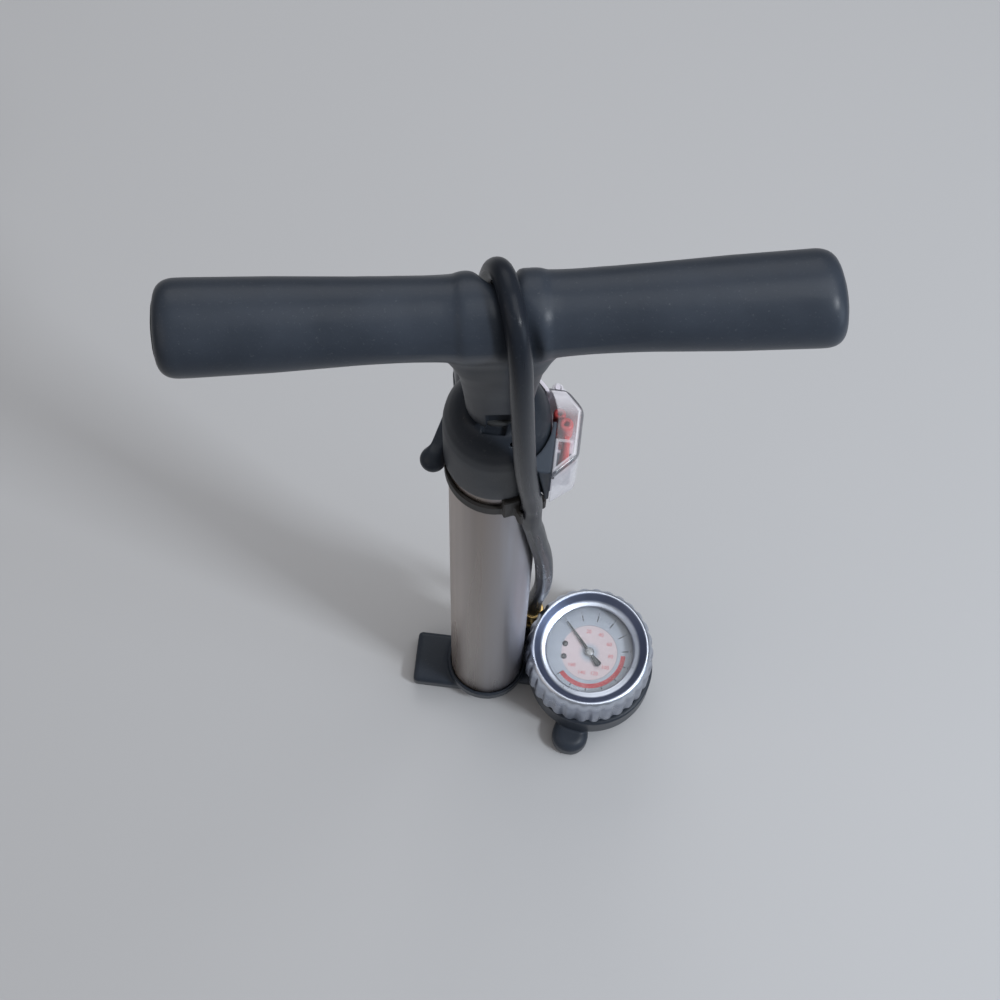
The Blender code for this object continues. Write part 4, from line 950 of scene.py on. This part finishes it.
class PUMP_OT_base(bpy.types.Operator):
    """Base moulding with heel, toes, gauge pedestal and hose boss, its rubber pads and the hose's fitting"""

    bl_idname = "pump.base"
    bl_label = "Base"

    def execute(self, context):
        z0 = BASE_LOW[2]
        toe_x, toe_y = 0.049, 0.0345
        gauge, boss = np.array(GAUGE_AT[:2]), np.array((0.0215, 0.0235))
        hub_z, hub_r, hub_foot = 0.0202, 0.0209, 0.0165
        dish_z0, dish_z1, dish_r = z0 + 0.0088, BASE_HIGH[2], 0.0325

        def field(p):
            """Rounded posts, bars and a heel block run together, cut flat below, with socket and pockets."""
            x, y, z = p
            away = np.hypot(x, y) - np.interp(z, [z0, 0.0116], [hub_foot, hub_r])
            whole = lidded(away, z, z0 - 0.01, hub_z, 0.0006)
            heel = box_field(p, (-0.0383, -0.0155, z0 - 0.02), (0.0, 0.012, z0 + 0.0095), 0.0026)
            web = bar_field(p, (0, 0), gauge, 0.0085, z0 - 0.02, z0 + 0.0116, 0.002)
            whole = join(join(whole, heel, 0.0022), web, 0.003)
            round_plan = np.hypot(x - gauge[0], y - gauge[1])
            bowl = np.hypot(x - gauge[0] - 0.0022, y - gauge[1] + 0.0008) - dish_r
            bowl = bowl + 0.005 * np.clip((dish_z0 + 0.006 - z) / 0.006, 0, 1) ** 2
            dish = lidded(bowl, z, dish_z0, dish_z1, 0.0014)
            foot = lidded(round_plan - 0.0155, z, z0 - 0.02, dish_z0 + 0.002, 0.0004)
            whole = join(whole, join(dish, foot, 0.003), 0.002)
            outlet = post_field(p, boss, 0.0066, z0 - 0.02, z0 + 0.018, 0.001)
            arm = bar_field(p, (0, 0), boss, 0.0055, z0 - 0.02, z0 + 0.0092, 0.0014)
            whole = join(whole, join(outlet, arm, 0.002), 0.0016)
            reach = np.abs(y)
            cross = box_field(p, (toe_x - 0.0077, -toe_y, z0 - 0.02), (toe_x + 0.0077, toe_y, z0 + 0.0105), 0.0024)
            knob = post_field((x, reach, z), (toe_x, toe_y), 0.0096, z0 - 0.02, z0 + 0.0122, 0.0046)
            whole = join(whole, join(cross, knob, 0.0022), 0.0024)
            whole = carve(whole, box_field((x, reach, z), (toe_x - 0.005, 0.02, z0 - 0.02),
                                           (toe_x + 0.005, 0.0245, z0 + 0.0065), 0.0008))
            whole = carve(whole, post_field(p, (0, 0), 0.0193, 0.014, 0.04, 0.0002), 0.0004)
            return np.maximum(carve(whole, post_field(p, gauge, 0.0051, 0.008, 0.05, 0.0002), 0.0004), z0 - z)

        moulded("base_moulding", field, (-0.04, -0.046, z0 - 0.0012), (0.0895, 0.046, dish_z1 + 0.001), 0.0008,
                "charcoal", "base", "base_body", sharp=60)
        dress("rubber", "centre_pad", "heel_pad", "toe_pad_near", "toe_pad_far", "valve_poppet")
        dress("brass", "valve_seat", "gauge_stem")
        dress("steel", "valve_spring")
        low, high = low_high("valve_spring")
        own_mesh(frame["nodes"]["valve_spring"])
        low, high = low_high("outlet_fitting")
        at = (*boss, 0)
        profile = [(0, high[2]), (0.005, high[2]), (0.0062, high[2] - 0.001), (0.0062, low[2] + 0.0008),
                   (0.0052, low[2]), (0, low[2])]
        turned("outlet_nut", profile, "brass", "base", "outlet_fitting", steps=6, at=at, sharp=20)
        low, high = low_high("lower_ferrule")
        r, foot, top = high[0] - boss[0], low[2], high[2]
        crimp = [(r - (0.0007 if k % 2 else 0.0), top - 0.0022 - 0.0016 * k) for k in range(8)]
        profile = [(0, top), (r - 0.0004, top), (r, top - 0.0006), *crimp, (r, foot), (0, foot)]
        turned("hose_ferrule", profile, "brass", "base", "lower_ferrule", 0.0004, 64, at=at)
        return {"FINISHED"}


# Gauge


class PUMP_OT_gauge(bpy.types.Operator):
    """Dial gauge: cup, scalloped bezel, printed dial with its numbers, pointer, screws and lens"""

    bl_idname = "pump.gauge"
    bl_label = "Gauge"

    def execute(self, context):
        z0, z1, inner = CUP_LOW[2], CUP_HIGH[2], CUP_R - 0.002
        profile = [(inner, z1), (CUP_R, z1), (CUP_R, z0 + 0.01), (CUP_R - 0.0025, z0 + 0.0034), (CUP_R - 0.0085, z0),
                   (0.0051, z0), (0.0051, z0 + 0.002), (inner - 0.007, z0 + 0.002), (inner - 0.001, z0 + 0.0064),
                   (inner, z0 + 0.01)]
        turned("gauge_case", profile, "cup", "base", "gauge_cup", 0.0022, 128, True, GAUGE_AT)
        self.bezel()
        low, high = low_high("gauge_dial")
        sleeve("dial_plate", 0.0011, inner - GAP, low[2], high[2], 0.0002, "dial", "base", "gauge_dial", 128,
               GAUGE_AT)
        self.numbers(high[2])
        self.pointer(high[2])
        low, high = low_high("gauge_lens")
        r = CUP_R - GAP
        crown = [(r * t, high[2] - 0.0004 * t * t) for t in np.linspace(0, 0.98, 12)]
        profile = [*crown, (r, high[2] - 0.0006), (r, low[2] + 0.0002), (r - 0.0003, low[2]), (0, low[2])]
        turned("gauge_glass", profile, "lens", "base", "gauge_lens", steps=128, at=GAUGE_AT)
        dress("brass", "gauge_movement", "bourdon_tube")
        return {"FINISHED"}

    def bezel(self):
        """Closed profile turned about the gauge's axis, its outer side drawn in by a row of rounded scallops."""
        z1, z0 = BEZEL_HIGH[2], BEZEL_LOW[2]
        top, skirt, lip = z1 - 0.0052, CUP_R + GAP, WINDOW_R
        r = (BEZEL_HIGH[1] - BEZEL_LOW[1]) / 2
        profile = [(lip, top + 0.001), (lip + 0.0031, top + 0.0014), (r - 0.0043, z1), (r - 0.0028, z1 - 0.0005),
                   (r - 0.0012, top + 0.0022), (r - 0.0003, top - 0.003), (r, top - 0.008), (r, z0 + 0.001),
                   (r - 0.0008, z0), (skirt, z0), (skirt, top), (lip, top)]
        lobes = 30
        points, faces = revolve(rounded(profile, 0.001, True, 4), 18 * lobes, True)
        angle, away = np.arctan2(points[:, 1], points[:, 0]), np.hypot(points[:, 0], points[:, 1])
        hollow = (0.5 + 0.5 * np.cos(lobes * angle)) ** 1.6
        outer = np.clip((away - (r - 0.003)) / 0.0028, 0, 1)
        pull = 1 - shape().scallop_depth * hollow * outer * outer * (3 - 2 * outer) / away
        points[:, :2] *= pull[:, None]
        sharpen(new_piece("bezel_ring", placed(points, GAUGE_AT), faces, "chrome", "base", "gauge_bezel"), 40)

    def numbers(self, face):
        """Plain numbers of the inner scale, as flat text made into a mesh just over the dial."""
        for k in range(1, 9):
            angle = SCALE_ZERO - SCALE_SWEEP * k / 8
            self.label("dial_number_%d" % (20 * k), str(20 * k), 0.0028, 0.0113, angle, face, "ink")
        for k in range(12):
            angle = SCALE_ZERO - SCALE_SWEEP * k / 11
            self.label("dial_mark_%d" % k, str(k), 0.0017, 0.0215, angle, face, "black")

    def label(self, name, words, size, away, angle, face, ink):
        curve = bpy.data.curves.new(name, "FONT")
        curve.body = words
        curve.size = size
        curve.align_x = "CENTER"
        curve.align_y = "CENTER"
        curve.resolution_u = 3
        writing = shown(name + "_text", curve)
        bpy.context.view_layer.update()
        mesh = bpy.data.meshes.new_from_object(writing.evaluated_get(bpy.context.evaluated_depsgraph_get()))
        bpy.data.objects.remove(writing, do_unlink=True)
        spot = (GAUGE_AT[0] + away * math.cos(angle), GAUGE_AT[1] + away * math.sin(angle), face + 0.00006)
        mesh.transform(Matrix.Translation(spot))
        mesh.materials.clear()
        mesh.materials.append(look(ink))
        obj = shown(name, mesh)
        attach(obj, "base")

    def pointer(self, face):
        """Flat blade whose half width is a curve along its length, with its hub, and the dial's rivets."""
        low, high = low_high("gauge_pointer")
        along, half = table([(-0.0088, 0.0005), (-0.0082, 0.0018), (-0.006, 0.0015), (-0.003, 0.0009), (0.0, 0.0008),
                             (0.006, 0.0007), (0.0192, 0.00026), (0.02, 0.00008)], 0.0002, 160)
        z0, z1 = low[2] + 0.0001, high[2] - 0.0001
        ring = np.stack([np.stack([along, side * half, np.full_like(along, z)], -1)
                         for side, z in ((1, z1), (-1, z1), (-1, z0), (1, z0))], 1)
        ends = np.concatenate([np.repeat(ring[:1].mean(1, keepdims=True), 4, 1), ring,
                               np.repeat(ring[-1:].mean(1, keepdims=True), 4, 1)])
        points, faces = placed(ends.reshape(-1, 3), GAUGE_AT, None, SCALE_ZERO), grid_faces(len(ends), 4)[:, ::-1]
        welded(new_piece("pointer_blade", points, faces, "black", "pointer", "gauge_pointer", smooth=False))
        foot, top = low[2], high[2]
        profile = [(0, top + 0.0009), (0.0017, top + 0.0008), (0.0024, top + 0.0003), (0.0024, foot + 0.0002),
                   (0.0009, foot + 0.0002), (0.0009, foot - 0.0009), (0, foot - 0.0009)]
        turned("pointer_hub", profile, "cup", "pointer", "gauge_spindle", 0.0003, 40, at=GAUGE_AT)
        profile = [(0, face + 0.0011), (0.0009, face + 0.001), (0.0015, face + 0.0005), (0.0015, face + 0.0001),
                   (0, face + 0.0001)]
        for side, name in ((-1, "near"), (1, "far")):
            spot = (GAUGE_AT[0] - 0.013, side * 0.0034, 0)
            turned("dial_rivet_" + name, profile, "black", "base", "dial_screw_" + name, 0.0003, 32, at=spot)


# Pump head


class PUMP_OT_head(bpy.types.Operator):
    """Parked pump head with its boot, collar and folding lever"""

    bl_idname = "pump.head"
    bl_label = "Pump head"

    def execute(self, context):
        boot_low, boot_high = low_high("head_boot")
        z1 = boot_low[2] - GAP
        z0 = z1 - 0.052
        lever_low, lever_high = low_high("head_lever")
        lever_z0, lever_z1 = lever_low[2], lever_high[2]
        peg_z = z0 + 0.034
        half = 0.0127
        pivot = np.array((0.033, half - 0.0048))

        def body(p):
            """A soft box narrowed towards its top, with the nozzle's bore and the lever's slot cut out."""
            x, y, z = p
            lift = np.clip((z - peg_z) / (z1 - peg_z), 0, 1)
            squeeze = 1 + 0.16 * lift * lift
            drawn = (pivot[0] + (x - pivot[0]) * squeeze, y * squeeze, z)
            shell = box_field(drawn, (0.024, -half, z0), (0.042, half, z1), 0.0046)
            slot = (0.02, pivot[1] - 0.0051, lever_z0 - GAP), (0.05, half + 0.004, lever_z1 + GAP)
            shell = carve(shell, box_field(p, *slot, 0.0003), 0.0006)
            bore = np.maximum(np.hypot(y, z - peg_z) - 0.0058, x - 0.035)
            return carve(shell, bore, 0.0006)

        moulded("head_shell", body, (0.0225, -0.014, z0 - 0.001), (0.0435, 0.014, z1 + 0.001), 0.00055, "charcoal",
                "base", "head_body", yaw=HEAD_YAW)
        tip = np.array((-0.0317, 0.0171))
        mid = (lever_z0 + lever_z1) / 2

        def lever(p):
            """An eye on the pin, a flat arm and a rounded thumb knob at its end, run together."""
            x, y, z = p
            eye = post_field(p, (0, 0), 0.0045, lever_z0, lever_z1, 0.0006)
            arm = bar_field(p, (0, 0), tip * 0.93, 0.0027, lever_z0 + 0.0008, lever_z1 - 0.0008, 0.001)
            knob = np.sqrt((x - tip[0]) ** 2 + (y - tip[1]) ** 2 + 1.25 * (z - mid) ** 2) - 0.0053
            whole = join(join(eye, arm, 0.0014), knob, 0.0022)
            return carve(whole, np.hypot(x, y) - 0.0017, 0.0002)

        low, high = (-0.0384, -0.0056, lever_z0 - 0.0012), (0.0056, 0.024, lever_z1 + 0.0012)
        moulded("lever_arm", lever, low, high, 0.00055, "charcoal", "lever", "head_lever",
                placed(np.array((*pivot, 0)), yaw=HEAD_YAW), HEAD_YAW)
        r, foot, top = 0.0042, boot_low[2], boot_high[2]
        ribs = [(r + 0.0012 + 0.00035 * k - (0.0007 if k % 2 else 0), top - 0.0012 - 0.0012 * k) for k in range(8)]
        profile = [(0, top), (r + 0.0004, top), *ribs, (0.008, foot + 0.0014), (0.008, foot), (0, foot)]
        at = (boot_low + boot_high) / 2 * (1, 1, 0)
        turned("head_strain_boot", profile, "rubber", "base", "head_boot", 0.0005, 64, at=at)
        dress("dark", "head_collar")
        dress("rubber", "head_seal")
        dress("steel", "lever_pin")
        return {"FINISHED"}


# Accessory case


def case_front(x, y):
    """How far a point stands in front of the case's slanted front, which runs back to front towards the barrel."""
    return FRONT_X * (x - FRONT_AT[0]) - FRONT_Y * (y - FRONT_AT[1])


def case_foot(y, up):
    """How far a point stands below the bevel that lifts the case's foot towards its front."""
    return 0.64 * (-0.011 - y) - 0.77 * up


class PUMP_OT_case(bpy.types.Operator):
    """Accessory case on the cap: dark tray, clear hinged cover, red adapters, cone nozzle and ball needle"""

    bl_idname = "pump.case"
    bl_label = "Accessory case"

    def execute(self, context):
        pin_low, pin_high = low_high("case_pin")
        pin = (pin_low + pin_high)[:2] / 2
        low, high = low_high("case_cover")
        y0, y1, z0, z1 = CASE_Y0, CASE_Y1, low[2], high[2]
        tray_x, cover_x0, cover_x1 = 0.0228, 0.0231, high[0]
        fifth = (z1 - z0) / 5
        middle = z0 + 2 * fifth, z0 + 3 * fifth
        shelf_z = z0 + 0.0016

        def behind(x, y):
            """The distance that parts tray from cover: round the barrel behind, straight across in front."""
            return np.where(y > 0, np.hypot(x, y), x)

        def pin_hole(x, y):
            return np.hypot(x - pin[0], y - pin[1]) - 0.0013

        def tray(p):
            """A block saddled on the cap and thinned to a shell behind, with a shelf, rails and the hinge's arm."""
            x, y, z = p
            plate = box_field(p, (0.012, y0 + 0.001, z0 + 0.0005), (0.04, 0.0178, z1 - 0.0005), 0.001)
            plate = carve(plate, tray_x - behind(x, y), 0.0006)
            shelf = box_field(p, (0.014, y0, shelf_z), (cover_x1 - 0.0023, y1 - 0.0023, shelf_z + 0.0018), 0.0003)
            shelf = np.maximum(np.maximum(shelf, case_front(x, y) + 0.0024), case_foot(y, z - z0) + 0.0018)
            back_x, rail_x, rail_y = tray_x - 0.002, tray_x + 0.001, y0 + 0.0023
            rail = box_field(p, (back_x, rail_y, z0 + 0.015), (rail_x, y0 + 0.0035, z0 + 0.03), 0.0002)
            bar = box_field(p, (back_x, rail_y, z0 + 0.029), (rail_x, -0.002, z0 + 0.0302), 0.0002)
            arm = bar_field(p, (0.0146, 0.0161), pin, 0.0012, *middle, 0.0003)
            knuckle = post_field(p, pin, 0.0022, *middle, 0.0003)
            whole = join(plate, np.minimum(np.minimum(shelf, rail), bar), 0.0006)
            whole = join(whole, join(arm, knuckle, 0.0005), 0.0006)
            whole = carve(whole, np.hypot(x, y) - CAP_R - GAP, 0.0003)
            whole = carve(whole, box_field(p, (0.01, 0.001, z0 + 0.012), (0.04, 0.0126, z1 + 0.01), 0.0008), 0.0004)
            whole = carve(carve(whole, near_hose(p, CASE_RUN) - 0.005, 0.0004), -case_foot(y, z - z0), 0.0006)
            return carve(whole, pin_hole(x, y), 0.0002)

        moulded("case_back", tray, (0.012, -0.0212, z0 - 0.0004), (cover_x1, 0.02, z1 + 0.0002), 0.00052, "tray",
                "base", "case_tray", sharp=50)

        def cover(p):
            """A thin shell, open towards the tray, with a slanted front, a bevel behind and two hinge knuckles."""
            x, y, z = p
            bevels = np.maximum((x - cover_x1 + y - y1 + CASE_BEVEL) * math.sqrt(0.5), case_front(x, y))
            bevels = np.maximum(bevels, case_foot(y, z - z0))
            shell = carve(box_field(p, (0.008, -0.03, z0), (cover_x1, y1, z1), 0.0024), -bevels, 0.0016)
            inside = box_field(p, (0.006, -0.03, z0 + 0.0013), (cover_x1 - 0.0013, y1 - 0.0013, z1 - 0.0013), 0.0014)
            inside = carve(inside, -bevels - 0.0013, 0.0012)
            shell = np.maximum(carve(shell, inside, 0.0003), cover_x0 - behind(x, y))
            under, over = z1 - 0.0016, z1 + 0.0004
            rib = box_field(p, (cover_x0 - 0.01, -0.007, under), (cover_x1 - 0.003, -0.0059, over), 0.0003)
            lip = box_field(p, (cover_x0, -0.0218, under), (cover_x0 + 0.0011, -0.0059, over), 0.0003)
            shell = join(shell, np.maximum(np.minimum(rib, lip), cover_x0 - x), 0.0004)
            for k in (1, 3):
                foot, top = z0 + k * fifth + 0.0002, z0 + (k + 1) * fifth - 0.0002
                web = box_field(p, (cover_x0 + 0.0001, y1 - 0.001, foot), (cover_x0 + 0.0016, pin[1], top), 0.0003)
                knuckle = post_field(p, pin, 0.0022, foot, top, 0.0003)
                shell = join(shell, join(web, knuckle, 0.0005), 0.0006)
            return carve(shell, pin_hole(x, y), 0.0002)

        moulded("case_lid", cover, (0.0164, -0.0238, z0 - 0.0006), (cover_x1 + 0.0006, 0.02, z1 + 0.001), 0.0005,
                "cover", "lid", "case_cover", sharp=50)
        dress("tray", "case_pin")
        for name in ("a", "b"):
            low, high = low_high("valve_adapter_" + name)
            r, foot, top = (high[0] - low[0]) / 2, low[2], high[2]
            tall = top - foot
            profile = [(0.0008, top - 0.004), (0.4 * r, top), (0.8 * r, top), (r, top - 0.001),
                       (r, foot + 0.55 * tall), (0.72 * r, foot + 0.47 * tall), (0.72 * r, foot + 0.16 * tall),
                       (0.92 * r, foot + 0.1 * tall), (0.92 * r, foot), (0, foot)]
            profile = np.concatenate([[(0, top - 0.004)], rounded(profile, 0.0004)])
            turned("adapter_" + name, profile, "red", "base", "valve_adapter_" + name, steps=40,
                   at=(low + high) / 2 * (1, 1, 0) if name == "a" else (0.0234, 0.0094, 0))
        lean = np.array((0.0001, 0.0066, 0.023))
        length = float(np.linalg.norm(lean))
        floor_z = shelf_z + 0.0018 + GAP
        profile = [(0, length), (0.001, length), (0.0013, length - 0.002), (0.002, 0.0078), (0.0022, 0.007),
                   (0.0022, 0.0006), (0.0016, 0), (0, 0)]
        turned("nozzle_cone", profile, "red", "base", "cone_nozzle", 0.0003, 40,
               at=(tray_x + 0.0043, -0.0068, floor_z + 0.001), aim=lean)
        profile = [(0, 0.0155), (0.0004, 0.0153), (0.0006, 0.0145), (0.0006, 0.0052), (0.0011, 0.0046), (0.0011, 0),
                   (0, 0)]
        turned("needle_shaft", profile, "steel", "base", "ball_needle", 0.0002, 24,
               at=(tray_x + 0.0016, -0.0128, floor_z + 0.0011), aim=(0.0062, 0.0062, 0.009))
        return {"FINISHED"}


# Stage


class PUMP_OT_stage(bpy.types.Operator):
    """Pale floor, soft lamps, plain world and the camera at the photograph's angle"""

    bl_idname = "pump.stage"
    bl_label = "Stage"

    def execute(self, context):
        scene, stage = context.scene, context.scene.pump_stage
        self.camera(scene, stage)
        self.floor()
        self.world(scene)
        for name, place, size, power, tint in (
            ("key", (0.45, 0.15, 1.6), 0.9, 8.0, (0.96, 0.98, 1.0)),
            ("window", (0.82, -0.35, 1.28), 0.18, 9.0, (0.9, 0.95, 1.0)),
            ("wash", (1.05, -0.35, 0.62), 0.6, 3.5, (0.74, 0.86, 1.0)),
            ("fill", (-0.95, -0.55, 1.05), 1.1, 2.2, (1.0, 0.87, 0.76)),
            ("back", (-0.25, 1.05, 1.15), 0.9, 4.0, (1.0, 1.0, 1.0)),
        ):
            lamp = bpy.data.lights.new(name, "AREA")
            lamp.size = size
            lamp.energy = power
            lamp.color = tint
            obj = shown(name, lamp)
            obj.location = place
            obj.rotation_euler = (Vector((0, 0, 0.3)) - Vector(place)).to_track_quat("-Z", "Y").to_euler()
        scene.view_settings.view_transform = "Standard"
        return {"FINISHED"}

    def camera(self, scene, stage):
        """Heading (0, cos p, -sin p) turned about Z, and the picture's axes leant by the roll."""
        turn = Matrix.Rotation(stage.turn, 3, "Z")
        ahead = turn @ Vector((0, math.cos(stage.pitch), -math.sin(stage.pitch)))
        right = turn @ Vector((1, 0, 0))
        up = right.cross(ahead)
        across = math.cos(stage.roll) * right + math.sin(stage.roll) * up
        upright = -math.sin(stage.roll) * right + math.cos(stage.roll) * up
        data = bpy.data.cameras.new("camera")
        data.sensor_width = 36
        data.lens = stage.focal
        data.clip_start = 0.01
        scene.camera = shown("camera", data)
        frame_turn = Matrix((across, upright, -ahead)).transposed().to_4x4()
        scene.camera.matrix_world = Matrix.Translation(stage.camera_at) @ frame_turn

    def floor(self):
        """A wide disc, flat under the pump and rolled up softly far away."""
        away = np.linspace(0, 4.0, 40)
        lift = 0.9 * np.clip((away - 2.6) / 1.4, 0, 1) ** 3
        points, faces = revolve(np.stack([away, lift], -1)[::-1], 96)
        welded(new_piece("floor_sheet", points, faces[:, ::-1], "floor", None))

    def world(self, scene):
        world = bpy.data.worlds.new("studio")
        world.use_nodes = True
        tree = world.node_tree
        back = tree.nodes["Background"]
        back.inputs["Color"].default_value = (0.8, 0.82, 0.85, 1)
        back.inputs["Strength"].default_value = 0.34
        scene.world = world


class PUMP_PT_panel(bpy.types.Panel):
    bl_idname = "PUMP_PT_panel"
    bl_label = "Floor bike pump"
    bl_space_type = "VIEW_3D"
    bl_region_type = "UI"
    bl_category = "Pump"

    def draw(self, context):
        for group in (context.scene.pump_finish, context.scene.pump_shape, context.scene.pump_stage):
            for name in group.__annotations__:
                self.layout.prop(group, name)
        for operator in OPERATORS:
            self.layout.operator(operator.bl_idname)


OPERATORS = (PUMP_OT_stage, PUMP_OT_head, PUMP_OT_hose, PUMP_OT_handle, PUMP_OT_barrel, PUMP_OT_clip, PUMP_OT_base,
             PUMP_OT_gauge, PUMP_OT_case)
GROUPS = {"pump_finish": PumpFinish, "pump_shape": PumpShape, "pump_stage": PumpStage}


def register():
    for group in GROUPS.values():
        bpy.utils.register_class(group)
    for name, group in GROUPS.items():
        setattr(bpy.types.Scene, name, bpy.props.PointerProperty(type=group))
    for made in (*OPERATORS, PUMP_PT_panel):
        bpy.utils.register_class(made)


def unregister():
    for made in (PUMP_PT_panel, *reversed(OPERATORS)):
        bpy.utils.unregister_class(made)
    for name, group in GROUPS.items():
        delattr(bpy.types.Scene, name)
        bpy.utils.unregister_class(group)


def main():
    register()
    for operator in OPERATORS:
        group, name = operator.bl_idname.split(".")
        getattr(getattr(bpy.ops, group), name)()


if __name__ == "__main__":
    main()
